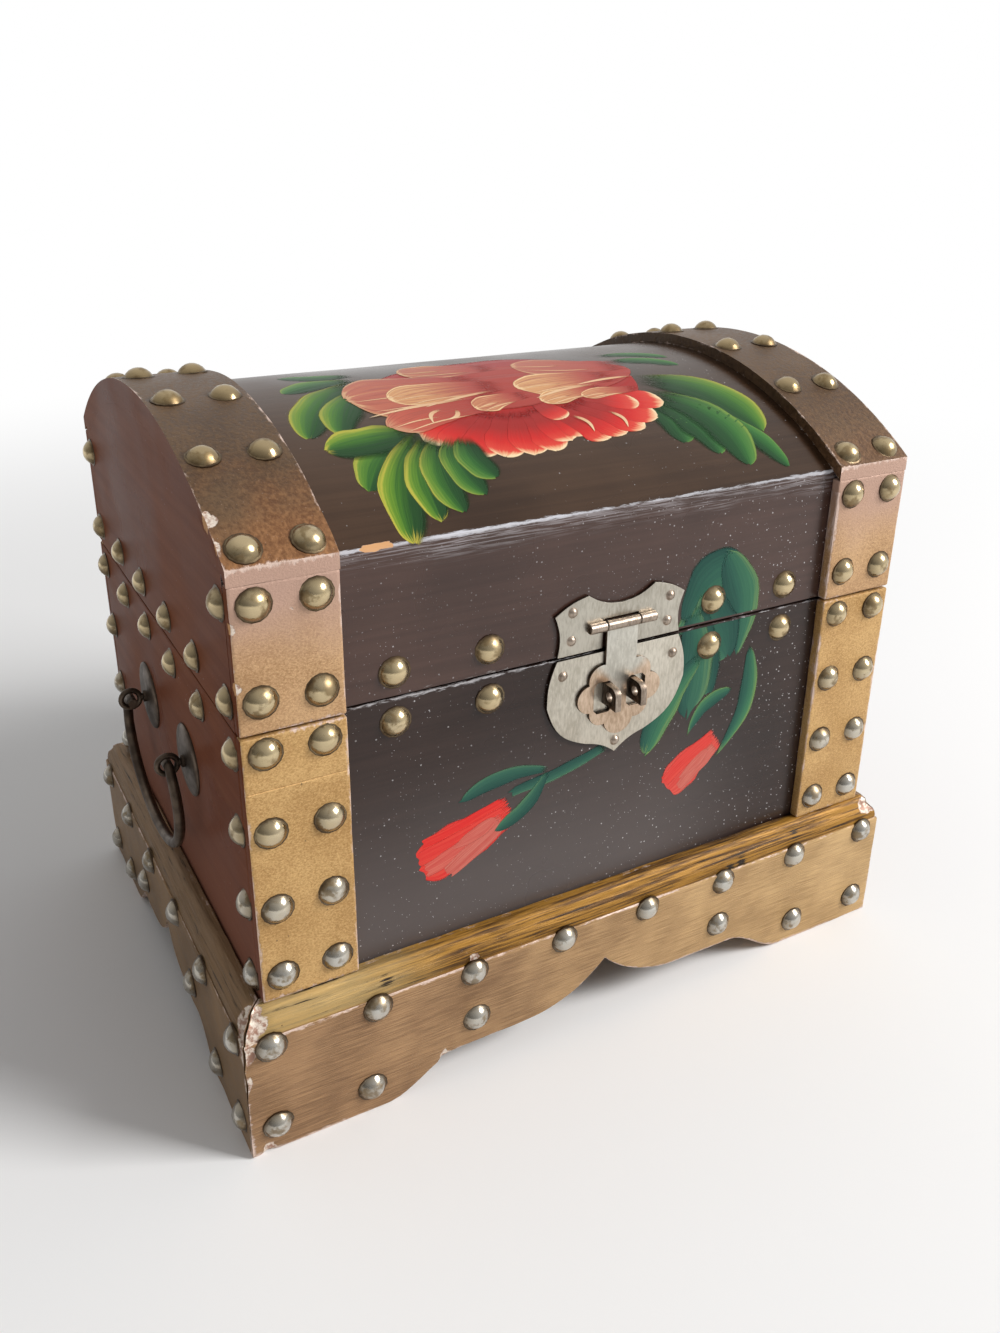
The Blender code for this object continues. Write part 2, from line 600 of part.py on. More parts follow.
for side in SIDES:
    upright = Matrix.Translation((side.sign * lug_middle + LUG_SHEET / 2, lug_level, 0))
    lug = cut_sheet(f"hasp_{side.name}_lug", [lug_outline, lug_eye], LUG_SHEET,
                    hasp_frame @ upright @ Matrix.Rotation(-math.pi / 2, 4, "Y"))
    combine(lower_plate, lug, "UNION")
finish(lower_plate, NICKEL)


def lobe(start, end, rise):
    """Points of a round lobe from start up to end, to the right of its chord; end is left out."""
    start, half = Vector(start), (Vector(end) - Vector(start)) / 2
    radius = (half.length_squared + rise ** 2) / (2 * rise)
    centre = start + half + Vector((half.y, -half.x)).normalized() * (rise - radius)
    sweep = 2 * math.atan2(half.length, radius - rise)
    return [tuple(centre + Matrix.Rotation(sweep * step / LOBE_STEPS, 2) @ (start - centre))
            for step in range(LOBE_STEPS)]


def leaf_half():
    """Right half of the leaf, from the foot of its lobed flange up to the barrel."""
    strap = STRAP_WIDTH / 2 - FIT
    ends = [(0, FLANGE_BOTTOM), *FLANGE_NOTCHES, (strap, FLANGE_TOP)]
    outline = []
    for start, end, rise in zip(ends, ends[1:], LOBE_RISES):
        outline += lobe(start, end, rise)
    return outline + [(strap, FLANGE_TOP), (strap, HASP_AXIS_RISE), (0, HASP_AXIS_RISE)]


def window_outline(middle):
    """A window of the leaf with its corners cut off."""
    across, up = WINDOW_WIDTH / 2, WINDOW_HEIGHT / 2
    right = [(across - WINDOW_CORNER, -up), (across, WINDOW_CORNER - up), (across, up - WINDOW_CORNER),
             (across - WINDOW_CORNER, up)]
    return [(middle + x, WINDOW_LEVEL + y) for x, y in mirrored(right)]


leaf_frame = hasp_frame @ Matrix.Translation((0, 0, HASP_AXIS_OUT - HASP_SHEET / 2))
window_middle = WINDOW_NEAR + WINDOW_WIDTH / 2
windows = [window_outline(side.sign * window_middle) for side in SIDES]
leaf = cut_sheet("hasp_leaf", [mirrored(leaf_half()), *windows], HASP_SHEET, leaf_frame)
combine(leaf, leaf_knuckle, "UNION")
combine(leaf, bores[1], "DIFFERENCE")
finish(leaf, COPPERED_NICKEL, HASP)
pin_ends = [(side.sign * HASP_BARREL / 2, HASP_AXIS_RISE, HASP_AXIS_OUT) for side in SIDES]
hasp_pin = rods("hasp_pin", [pin_ends], HASP_PIN, hasp_frame)
finish(hasp_pin, NICKEL, LID)

# Butt hinges: the lower leaf and the pin stay with the base, the upper leaf goes with the lid
for side in SIDES:
    hinge_frame = Matrix.Translation((side.sign * HINGE_PLACE, HINGE_AXIS, SEAM_HEIGHT))
    name = side.name + "_hinge"
    third = HINGE_LENGTH / 3
    reach = HINGE_AXIS - HALF_DEPTH + BOARD - HINGE_LIP - FIT
    outer_pair, middle_one, bores = barrel(name, hinge_frame, HINGE_LENGTH, third, HINGE_KNUCKLE,
                                           HINGE_PIN + PIN_CLEARANCE, (0, 0))
    room = HINGE_KNUCKLE + FIT
    lower_outline = [(-HINGE_LENGTH / 2, -reach), (HINGE_LENGTH / 2, -reach), (HINGE_LENGTH / 2, 0),
                     (third / 2 + FIT / 2, 0), (third / 2 + FIT / 2, -room), (-third / 2 - FIT / 2, -room),
                     (-third / 2 - FIT / 2, 0), (-HINGE_LENGTH / 2, 0)]
    upper_outline = [(-HINGE_LENGTH / 2, -reach), (HINGE_LENGTH / 2, -reach), (HINGE_LENGTH / 2, -room),
                     (third / 2 - FIT / 2, -room), (third / 2 - FIT / 2, 0), (FIT / 2 - third / 2, 0),
                     (FIT / 2 - third / 2, -room), (-HINGE_LENGTH / 2, -room)]
    lower_leaf = cut_sheet(name + "_lower_leaf", [lower_outline], HINGE_SHEET,
                           hinge_frame @ Matrix.Translation((0, 0, -SEAM_GAP / 2 - HINGE_SHEET)))
    combine(lower_leaf, outer_pair, "UNION")
    combine(lower_leaf, bores[0], "DIFFERENCE")
    finish(lower_leaf, BRASS)
    upper_leaf = cut_sheet(name + "_upper_leaf", [upper_outline], HINGE_SHEET,
                           hinge_frame @ Matrix.Translation((0, 0, SEAM_GAP / 2)))
    combine(upper_leaf, middle_one, "UNION")
    combine(upper_leaf, bores[1], "DIFFERENCE")
    finish(upper_leaf, BRASS, LID)
    pin = rods(name + "_pin", [((-HINGE_LENGTH / 2, 0, 0), (HINGE_LENGTH / 2, 0, 0))], HINGE_PIN, hinge_frame)
    finish(pin, BRASS)


def bail_path():
    """Bail from one turned end, round the belly, to the other; the eyes' axis is the x axis."""
    bend = EYE_SPACING / 2 + BAIL_TURN
    half_belly = bend + BAIL_BULGE
    share = math.sqrt(1 - (bend / half_belly) ** 2)
    belly_height = BAIL_DROP / (1 + share)
    start = -math.asin(share)
    points = [(half_belly * math.cos(turn), -belly_height * (share + math.sin(turn)), 0)
              for turn in spread(start, math.pi - start, BAIL_POINTS)]
    stub = EYE_SPACING / 2 - BAIL_STUB
    return [(stub, 0, 0)] + points + [(-stub, 0, 0)]


def rosette_profile():
    """Section of a domed washer round the shank of an eye, from its bore to its rim and back."""
    bore = SHANK_RADIUS + SHANK_CLEARANCE
    dome = [(ROSETTE_RADIUS * math.sin(turn), ROSETTE_RIM + (ROSETTE_RISE - ROSETTE_RIM) * math.cos(turn))
            for turn in spread(math.asin(bore / ROSETTE_RADIUS), math.pi / 2, CURVE_STEPS)]
    return [(bore, 0), *dome, (ROSETTE_RADIUS, 0), (bore, 0)]


# Drop bails, each hung in two eye posts that pass through domed rosettes and clench inside the end
clench_level = -BOARD - FIT - CLENCH_RADIUS
shank_ends = ((0, 0, clench_level), (0, 0, EYE_OUT - EYE_RADIUS))
clench_ends = ((0, -CLENCH_LENGTH / 2, clench_level), (0, CLENCH_LENGTH / 2, clench_level))
for side in SIDES:
    end_frame = on_face(side, HALF_WIDTH) @ Matrix.Translation((0, BAIL_HEIGHT, 0))
    for end in ENDS:
        eye_frame = end_frame @ Matrix.Translation((side.sign * end.sign * EYE_SPACING / 2, 0, 0))
        rosette = as_object(f"{side.name}_{end.name}_rosette", turned(rosette_profile(), ROSETTE_SIDES),
                            eye_frame @ Matrix.Translation((0, 0, FIT)))
        finish(rosette, DARK_BRONZE)
        ring = [(0, y, z) for y, z in circle(EYE_RADIUS, (0, EYE_OUT))]
        eye = wire(f"{side.name}_{end.name}_eye_post", ring, EYE_WIRE, eye_frame, closed=True)
        combine(eye, rods(eye.name + "_shank", [shank_ends], SHANK_RADIUS, eye_frame), "UNION")
        combine(eye, rods(eye.name + "_clench", [clench_ends], CLENCH_RADIUS, eye_frame), "UNION")
        finish(eye, DARK_BRONZE)
    axis_frame = end_frame @ Matrix.Translation((0, 0, EYE_OUT))
    bail_empty = joint_empty(side.name + "_bail_axis", axis_frame.translation)
    bail = wire(side.name + "_bail", bail_path(), BAIL_WIRE, axis_frame)
    finish(bail, DARK_BRONZE, bail_empty)
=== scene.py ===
import math

import bmesh
import bpy
from mathutils import Matrix, Vector, noise


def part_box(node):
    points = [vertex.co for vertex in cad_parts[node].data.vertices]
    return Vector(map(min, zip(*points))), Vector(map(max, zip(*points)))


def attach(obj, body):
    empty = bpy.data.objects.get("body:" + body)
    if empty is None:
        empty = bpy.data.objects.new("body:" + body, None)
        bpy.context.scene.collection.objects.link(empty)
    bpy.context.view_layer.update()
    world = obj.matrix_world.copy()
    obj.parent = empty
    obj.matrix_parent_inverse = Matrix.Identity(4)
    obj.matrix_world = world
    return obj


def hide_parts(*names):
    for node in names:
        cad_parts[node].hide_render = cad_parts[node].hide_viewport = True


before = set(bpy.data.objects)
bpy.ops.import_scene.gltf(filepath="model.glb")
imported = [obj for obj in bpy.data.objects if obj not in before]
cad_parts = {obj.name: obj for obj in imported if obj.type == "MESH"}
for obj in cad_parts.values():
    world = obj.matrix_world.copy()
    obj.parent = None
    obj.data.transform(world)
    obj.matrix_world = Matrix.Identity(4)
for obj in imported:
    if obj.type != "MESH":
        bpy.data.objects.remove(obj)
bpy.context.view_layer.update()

# Studio: a pale floor and a large soft light high on the right, with the camera of the photograph.
# The floor keeps the box's shadow near it and fades to white further out.
photo_width, photo_height = 1000, 1333
focal_pixels = 1156.2
axis_pixel_x, axis_pixel_y = 524.7, 614.25
sensor_width = 36.0
camera_place = Vector((-0.1751, -0.3302, 0.2727))
looking = Vector((0.4642, 0.7924, -0.3957)).normalized()
rightwards = looking.cross(Vector((0.1832, 0.3512, 0.9182))).normalized()
upwards = rightwards.cross(looking)
near_clip = 0.01
floor_half = 4.0
floor_colour, floor_rough = (0.86, 0.855, 0.85, 1), 0.9
shadow_radius, white_radius = 0.30, 0.95
key_place = Vector((1.80, -1.44, 1.53))
key_size, key_power = 0.95, 84.0
sky_bright_side = Vector((0.62, 0.35, 0.70)).normalized()
sky_dark, sky_bright, sky_fill = 0.20, 1.0, 0.52


def shade(tree, kind, fed=None, **options):
    """Add a shader node, set its options, and feed its inputs with values or with other nodes' outputs."""
    node = tree.nodes.new("ShaderNode" + kind)
    for option, value in options.items():
        setattr(node, option, value)
    for socket, value in (fed or {}).items():
        if isinstance(value, bpy.types.NodeSocket):
            tree.links.new(value, node.inputs[socket])
        else:
            node.inputs[socket].default_value = value
    return node


def sums(tree, operation, first, second):
    """One step of arithmetic between two values."""
    return shade(tree, "Math", {0: first, 1: second}, operation=operation).outputs[0]


def times(tree, first, second):
    """Two values multiplied."""
    return sums(tree, "MULTIPLY", first, second)


def most(tree, first, second):
    """The larger of two values."""
    return sums(tree, "MAXIMUM", first, second)


def ranged(tree, value, low, high, to_low=0.0, to_high=1.0):
    """A value carried smoothly from one range to another."""
    node = shade(tree, "MapRange", {"Value": value, "From Min": low, "From Max": high, "To Min": to_low,
                                    "To Max": to_high}, interpolation_type="SMOOTHSTEP")
    return node.outputs["Result"]


def whereabouts(tree):
    """The place of each point on the piece."""
    return shade(tree, "TexCoord").outputs["Object"]


camera_data = bpy.data.cameras.new("photo_camera")
camera_data.sensor_width = sensor_width
camera_data.lens = focal_pixels / photo_height * sensor_width
camera_data.shift_x = (photo_width / 2 - axis_pixel_x) / photo_height
camera_data.shift_y = (axis_pixel_y - photo_height / 2) / photo_height
camera_data.clip_start = near_clip
camera = bpy.data.objects.new("photo_camera", camera_data)
camera_turn = Matrix((rightwards, upwards, -looking)).transposed().to_4x4()
camera.matrix_world = Matrix.Translation(camera_place) @ camera_turn
bpy.context.scene.collection.objects.link(camera)
bpy.context.scene.camera = camera
bpy.context.scene.view_settings.view_transform = "Standard"

key_data = bpy.data.lights.new("key_light", "AREA")
key_data.size = key_size
key_data.energy = key_power
key = bpy.data.objects.new("key_light", key_data)
key.matrix_world = Matrix.Translation(key_place) @ key_place.to_track_quat("Z", "Y").to_matrix().to_4x4()
bpy.context.scene.collection.objects.link(key)

world = bpy.data.worlds.new("studio_sky")
bpy.context.scene.world = world
world.use_nodes = True
sky = world.node_tree
ray = shade(sky, "LightPath").outputs
upward = shade(sky, "VectorMath", {0: shade(sky, "TexCoord").outputs["Generated"], 1: sky_bright_side},
               operation="DOT_PRODUCT")
glow = ranged(sky, upward.outputs["Value"], -1.0, 1.0, sky_dark, sky_bright)
reflected = most(sky, ray["Is Glossy Ray"], ray["Is Transmission Ray"])
lit = times(sky, glow, ranged(sky, reflected, 0.0, 1.0, sky_fill, 1.0))
shown = most(sky, lit, ray["Is Camera Ray"])
sky.links.new(shown, sky.nodes["Background"].inputs["Strength"])
sky.nodes["Background"].inputs["Color"].default_value = (1, 1, 1, 1)

floor_shape = bmesh.new()
bmesh.ops.create_grid(floor_shape, x_segments=1, y_segments=1, size=floor_half)
floor_mesh = bpy.data.meshes.new("studio_floor")
floor_shape.to_mesh(floor_mesh)
floor_shape.free()
studio_floor = bpy.data.objects.new("studio_floor", floor_mesh)
bpy.context.scene.collection.objects.link(studio_floor)
floor_paint = bpy.data.materials.new("studio_floor")
floor_paint.use_nodes = True
tree = floor_paint.node_tree
distance = shade(tree, "VectorMath", {0: whereabouts(tree)}, operation="LENGTH")
ray = shade(tree, "LightPath").outputs
mirrored_ray = most(tree, ray["Is Glossy Ray"], ray["Is Transmission Ray"])
watched = most(tree, ray["Is Camera Ray"], mirrored_ray)
faded = ranged(tree, distance.outputs["Value"], shadow_radius, white_radius)
tree.nodes["Principled BSDF"].inputs["Base Color"].default_value = floor_colour
tree.nodes["Principled BSDF"].inputs["Roughness"].default_value = floor_rough
white = shade(tree, "Emission", {"Color": (1, 1, 1, 1), "Strength": 1.0})
blend = shade(tree, "MixShader", {0: times(tree, watched, faded),
                                  1: tree.nodes["Principled BSDF"].outputs[0], 2: white.outputs[0]})
tree.links.new(blend.outputs[0], tree.nodes["Material Output"].inputs["Surface"])
floor_mesh.materials.append(floor_paint)

# Plinth: four softwood boards mitred at the corners, with a scalloped apron below and a moulded top edge.
# They are painted bronze and the moulding is gilded; edges and corners are chipped down to the pale ground.
fit = 0.0003
_, top_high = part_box("lid_top_board")
half_width, half_depth = top_high.x, top_high.y
plinth_height, plinth_thick = 0.0490, 0.0077
ovolo_height, ovolo_reach, ovolo_step, ovolo_groove = 0.0082, 0.0055, 0.0006, 0.0005
apron_rise, cusp_rise = 0.0107, 0.0240
front_apron = (0.0415, 0.0245, 0.0220)
side_apron = (0.0360, 0.0170, 0.0130)
plinth_cell = 0.0020
wear_reach = 0.0035
crease_angle = math.radians(38)
mitre_reach = 0.004
apron_shares = (0.06, 0.15, 0.27, 0.40, 0.53, 0.66, 0.78, 0.88, 0.94)
shoulder_wear, ovolo_wear = 0.3, 0.15
plinth_wave, plinth_wave_size = 0.00018, 0.009
flush_reach, panel_wave, wave_size = 0.00001, 0.00012, 0.030
step_level = plinth_height - ovolo_height
chips = (((-0.1172, -0.0862, 0.0462), 0.0105), ((-0.1180, -0.0867, 0.0365), 0.0055),
         ((-0.1180, -0.0867, 0.0283), 0.0042), ((-0.1131, -0.0867, 0.0010), 0.0030),
         ((-0.0575, -0.0867, 0.0098), 0.0030), ((-0.0469, -0.0862, 0.0428), 0.0022),
         ((0.1140, -0.0858, 0.0470), 0.0062), ((0.1180, 0.0867, 0.0400), 0.0048),
         ((-0.1180, 0.0867, 0.0050), 0.0040), ((-0.1100, -0.0822, 0.1449), 0.0030),
         ((-0.0950, -0.0822, 0.1637), 0.0014), ((-0.1100, -0.0822, 0.1602), 0.0020),
         ((-0.1100, -0.0690, 0.1838), 0.0042), ((-0.1100, -0.0767, 0.1792), 0.0022),
         ((-0.0738, -0.0787, 0.1740), 0.0017), ((-0.0708, -0.0787, 0.1740), 0.0021),
         ((-0.0678, -0.0787, 0.1740), 0.0016))
chip_even, chip_uneven, chip_grain = 0.75, 0.5, 420
chip_rim, crumb_grain = 0.3, 500
gouges = (((-0.0750, -0.0835, 0.0445), 0.0034), ((0.0550, -0.0860, 0.0420), 0.0048),
          ((0.0500, -0.0862, 0.0412), 0.0036), ((0.0790, -0.0835, 0.0448), 0.0034))
gouge_fray = 0.012
worn_from, worn_to = 1.46, 1.66
broken_from, broken_to = 0.70, 0.78
facing_limit = 0.7
front, right, rear, left = 0.0, math.pi / 2, math.pi, -math.pi / 2


def plus(tree, first, second):
    """Two values added."""
    return sums(tree, "ADD", first, second)


def less(tree, first, second):
    """One value less another."""
    return sums(tree, "SUBTRACT", first, second)


def mixed(tree, factor, first, second):
    """Two colours mixed by a factor."""
    node = shade(tree, "Mix", {0: factor, 6: first, 7: second}, data_type="RGBA")
    return node.outputs[2]


def axes(tree):
    """The place of each point on the piece, as its three lengths."""
    return shade(tree, "SeparateXYZ", {0: whereabouts(tree)}).outputs


def new_group(name, takes, gives):
    """An empty shader group with named inputs and outputs."""
    group = bpy.data.node_groups.new(name, "ShaderNodeTree")
    for label, kind in takes.items():
        group.interface.new_socket(label, in_out="INPUT", socket_type="NodeSocket" + kind)
    for label in gives:
        group.interface.new_socket(label, in_out="OUTPUT", socket_type="NodeSocketFloat")
    entry = group.nodes.new("NodeGroupInput")
    leave = group.nodes.new("NodeGroupOutput")
    return group, entry.outputs, leave.inputs


def placed(tree, group, **fed):
    """A shader group put into a material with its own values; gives its outputs."""
    node = tree.nodes.new("ShaderNodeGroup")
    node.node_tree = group
    for label, value in fed.items():
        if isinstance(value, bpy.types.NodeSocket):
            tree.links.new(value, node.inputs[label])
        else:
            node.inputs[label].default_value = value
    return node.outputs


def grain_group():
    """Brush marks or wood grain: noise drawn out along one axis of the piece, and blotches."""
    fed = {"Stretch": "Vector", "Blotch": "Float"}
    group, takes, gives = new_group("brush_grain", fed, ("Grain", "Patch"))
    place = whereabouts(group)
    drawn = shade(group, "VectorMath", {0: place, 1: takes["Stretch"]}, operation="MULTIPLY").outputs[0]
    lines = shade(group, "TexNoise", {"Vector": drawn, "Scale": 1.0, "Detail": 5.0, "Roughness": 0.62})
    patch = shade(group, "TexNoise", {"Vector": place, "Scale": takes["Blotch"], "Detail": 3.0})
    group.links.new(lines.outputs["Fac"], gives["Grain"])
    group.links.new(patch.outputs["Fac"], gives["Patch"])
    return group


def wear_group():
    """Rubbed edges: a mask that is ragged along the edges of a board and full where it is chipped."""
    group, takes, gives = new_group("edge_wear", {"Amount": "Float", "Stretch": "Vector"}, ("Mask", "Chip"))
    place = whereabouts(group)
    drawn = shade(group, "VectorMath", {0: place, 1: takes["Stretch"]}, operation="MULTIPLY").outputs[0]
    edge = shade(group, "Attribute", attribute_name="edge").outputs["Fac"]
    chip = shade(group, "Attribute", attribute_name="chip").outputs["Fac"]
    coarse = shade(group, "TexNoise", {"Vector": drawn, "Scale": 1.0, "Detail": 6.0, "Roughness": 0.72})
    long = shade(group, "TexNoise", {"Vector": place, "Scale": 28.0, "Detail": 2.0})
    worn = times(group, edge, takes["Amount"])
    ragged = plus(group, coarse.outputs["Fac"], times(group, long.outputs["Fac"], 0.6))
    mask = ranged(group, plus(group, worn, ragged), worn_from, worn_to)
    crumbled = plus(group, chip, times(group, coarse.outputs["Fac"], 0.5))
    broken = ranged(group, crumbled, broken_from, broken_to)
    group.links.new(most(group, mask, broken), gives["Mask"])
    group.links.new(broken, gives["Chip"])
    return group


def speck_group():
    """Dust and pits: tiny round dots scattered over the surface."""
    group, takes, gives = new_group("fine_specks", {"Scale": "Float", "Share": "Float"}, ("Mask",))
    place = whereabouts(group)
    cells = shade(group, "TexVoronoi", {"Vector": place, "Scale": takes["Scale"], "Randomness": 1.0})
    draw = shade(group, "SeparateColor", {0: cells.outputs["Color"]}).outputs
    size = ranged(group, draw[1], 0.0, 1.0, 0.04, 0.17)
    inside = sums(group, "LESS_THAN", cells.outputs["Distance"], size)
    chosen = sums(group, "LESS_THAN", draw[0], takes["Share"])
    group.links.new(times(group, inside, chosen), gives["Mask"])
    return group


brush_grain, edge_wear, fine_specks = grain_group(), wear_group(), speck_group()


def coated(name, roughness, metallic=0.0, gloss=0.5):
    """A new material with its shader, whose plain values are set on the shader itself."""
    material = bpy.data.materials.new(name)
    material.use_nodes = True
    shader = material.node_tree.nodes["Principled BSDF"]
    shader.inputs["Roughness"].default_value = roughness
    shader.inputs["Metallic"].default_value = metallic
    shader.inputs["Specular IOR Level"].default_value = gloss
    return material, material.node_tree, shader.inputs


def bumped(tree, sockets, height, strength, depth):
    """Small relief in a surface."""
    bump = shade(tree, "Bump", {"Height": height, "Strength": strength, "Distance": depth})
    tree.links.new(bump.outputs[0], sockets["Normal"])


def metallic_paint(name, dark, light, stretch, worn=(0.66, 0.50, 0.42, 1), wear=0.8,
                   rub=(600.0, 600.0, 200.0), gilt=None, copper=None, blush=None, painted_light_right=None):
    """Bronze or gold paint brushed on thinly, scratched, pitted and worn pale along its edges."""
    material, tree, sockets = coated(name, 0.42, metallic=0.25, gloss=0.28)
    grain = placed(tree, brush_grain, Stretch=stretch, Blotch=46.0)
    place = axes(tree)
    tone = plus(tree, grain["Grain"], times(tree, grain["Patch"], 0.6))
    brushed = ranged(tree, tone, 0.54, 1.06)
    colour = mixed(tree, brushed, dark, light)
    # Painted light: the paint grows lighter towards the right of the box.
    if painted_light_right:
        along = plus(tree, place[0], times(tree, grain["Patch"], 0.10))
        painted_light_mask = ranged(tree, along, -0.05, 0.17, 0.0, 0.85)
        colour = mixed(tree, painted_light_mask, colour, mixed(tree, brushed, *painted_light_right))
    if gilt:
        streaks = placed(tree, brush_grain, Stretch=gilt[2], Blotch=30.0)
        leaf = mixed(tree, ranged(tree, streaks["Grain"], 0.40, 0.60), *gilt[:2])
        along = plus(tree, place[0], times(tree, streaks["Patch"], 0.04))
        leaf = mixed(tree, ranged(tree, along, -0.030, -0.070, 0.0, 0.6), leaf, gilt[3])
        black = ranged(tree, streaks["Grain"], 0.40, 0.33)
        for spot, reach in gouges:
            away = shade(tree, "VectorMath", {0: whereabouts(tree), 1: spot}, operation="DISTANCE")
            beside = plus(tree, away.outputs["Value"], times(tree, streaks["Grain"], gouge_fray))
            outer, inner = (gouge_fray / 2 + reach * share for share in (0.6, 0.3))
            black = most(tree, black, ranged(tree, beside, outer, inner))
        leaf = mixed(tree, black, leaf, (0.020, 0.012, 0.006, 1))
        colour = mixed(tree, ranged(tree, place[2], step_level - 0.0002, step_level + 0.0003), colour, leaf)
    if copper:
        rubbed_front = plus(tree, place[2], times(tree, grain["Patch"], 0.03))
        warm = times(tree, ranged(tree, rubbed_front, copper[2], copper[1]),
                     ranged(tree, place[0], -0.05, 0.05, 1.0, 0.3))
        colour = mixed(tree, warm, colour, mixed(tree, brushed, copper[0], copper[3]))
    if blush:
        upper = plus(tree, place[2], times(tree, grain["Patch"], 0.02))
        colour = mixed(tree, ranged(tree, upper, blush[1], blush[2]), colour, blush[0])
    dust = placed(tree, fine_specks, Scale=1700.0, Share=0.35)["Mask"]
    colour = mixed(tree, times(tree, dust, 0.30), colour, worn)
    pits = placed(tree, fine_specks, Scale=620.0, Share=0.06)["Mask"]
    colour = mixed(tree, times(tree, pits, 0.6), colour, (0.06, 0.035, 0.02, 1))
    rubbed = placed(tree, edge_wear, Amount=wear, Stretch=rub)
    colour = mixed(tree, rubbed["Mask"], colour, worn)
    crumb = placed(tree, brush_grain, Stretch=(620.0, 620.0, 620.0), Blotch=200.0)["Grain"]
    crumbs = mixed(tree, ranged(tree, crumb, 0.40, 0.58), (0.36, 0.20, 0.14, 1), (0.74, 0.64, 0.54, 1))
    colour = mixed(tree, rubbed["Chip"], colour, crumbs)
    tree.links.new(colour, sockets["Base Color"])
    tree.links.new(ranged(tree, grain["Grain"], 0.25, 0.75, 0.36, 0.56), sockets["Roughness"])
    relief = less(tree, tone, times(tree, rubbed["Mask"], 0.8))
    bumped(tree, sockets, relief, 0.48, 0.0004)
    return material


def wood(name, dark, light, stretch):
    """Unfinished softwood, seen inside and underneath."""
    material, tree, sockets = coated(name, 0.7)
    grain = placed(tree, brush_grain, Stretch=stretch, Blotch=18.0)
    colour = mixed(tree, ranged(tree, grain["Grain"], 0.32, 0.68), dark, light)
    colour = mixed(tree, ranged(tree, grain["Patch"], 0.4, 0.8, 0.0, 0.4), colour, dark)
    tree.links.new(colour, sockets["Base Color"])
    tree.links.new(ranged(tree, grain["Grain"], 0.3, 0.7, 0.6, 0.8), sockets["Roughness"])
    bumped(tree, sockets, grain["Grain"], 0.25, 0.0004)
    return material


def faced(shape, number, chosen):
    """Give the faces that a test picks, by their normal and middle, another of the piece's finishes."""
    bmesh.ops.recalc_face_normals(shape, faces=shape.faces)
    shape.normal_update()
    for face in shape.faces:
        if chosen(face.normal, face.calc_center_median()):
            face.material_index = number


def piece(name, shape, materials, body, slot, *nodes):
    """Finish a mesh as one piece of the box: smooth, painted, carried by a body, and shown for its nodes."""
    bmesh.ops.recalc_face_normals(shape, faces=shape.faces)
    mesh = bpy.data.meshes.new(name)
    shape.to_mesh(mesh)
    shape.free()
    mesh.shade_smooth()
    mesh.set_sharp_from_angle(angle=crease_angle)
    for material in materials if isinstance(materials, tuple) else (materials,):
        mesh.materials.append(material)
    made = bpy.data.objects.new(name, mesh)
    bpy.context.scene.collection.objects.link(made)
    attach(made, body)
    if nodes:
        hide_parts(*nodes)
    return made


def chipped(shape, spread=0.0015):
    """Knock the damaged spots out of a board, and mark them for the paint."""
    chip = shape.verts.layers.float.new("chip")
    shape.normal_update()
    for vert in shape.verts:
        for place, radius in chips:
            near = 1.0 - (vert.co - Vector(place)).length / radius
            if near > 0:
                ragged = chip_even + chip_uneven * noise.noise(vert.co * chip_grain)
                vert[chip] = max(vert[chip], min(1.0, near * 2 * ragged))
    for vert in shape.verts:
        if vert[chip] > chip_rim:
            crumbled = 0.5 + abs(noise.noise(vert.co * crumb_grain))
            vert.co -= vert.normal * spread * (vert[chip] - chip_rim) * crumbled


def waved(shape, depth, size):
    """Give a board the slight unevenness of hand work; the box's ends stay flush from piece to piece."""
    shape.normal_update()
    for vert in shape.verts:
        if abs(abs(vert.co.x) - half_width) < flush_reach:
            vert.co.x += math.copysign(panel_wave, vert.co.x) * noise.noise(vert.co / wave_size)
        else:
            vert.co += vert.normal * depth * noise.noise(vert.co / size)


def apron(along, outer, foot, ogee, flat):
    """Height of the scalloped edge at a distance from the board's middle."""
    along = abs(along)
    lobe = outer - foot - ogee - flat
    drop = cusp_rise - apron_rise
    radius = (lobe ** 2 + drop ** 2) / (2 * drop)
    if along < lobe:
        return apron_rise + radius - math.sqrt(radius ** 2 - (lobe - along) ** 2)
    if along < lobe + flat:
        return apron_rise
    share = min(1.0, (along - lobe - flat) / ogee)
    return apron_rise * (1 + math.cos(math.pi * share)) / 2


def plinth_section():
    """Points (outwards, rise, wear) of a plinth board: rise is 0 at the apron, 1 at the step, 2 on top."""
    face = plinth_thick
    points = [(0.0, 0.0, 1.0), (face * 0.5, 0.0, 0.7), (face - 0.0006, 0.0, 1.0), (face, 0.016, 1.0)]
    shoulders = (apron_shares[0], apron_shares[-1])
    points += [(face, share, shoulder_wear if share in shoulders else 0.0) for share in apron_shares]
    points += [(face, 0.985, 0.88), (face - 0.0003, 1.0, 0.98), (face - ovolo_step, 1.0, 0.2)]
    for share in range(1, 10):
        turn = math.pi / 2 * share / 10
        groove = ovolo_groove if share in (4, 5) else 0.0
        out = face - ovolo_step - ovolo_reach * (1 - math.cos(turn)) - groove
        points.append((out, 1 + math.sin(turn), ovolo_wear))
    points += [(face - ovolo_step - ovolo_reach, 1.985, 0.75), (0.0004, 2.0, 0.75), (0.0, 1.95, 0.4)]
    return points + [(0.0, 1.5, 0.0), (0.0, 1.0, 0.0), (0.0, 0.5, 0.0)]


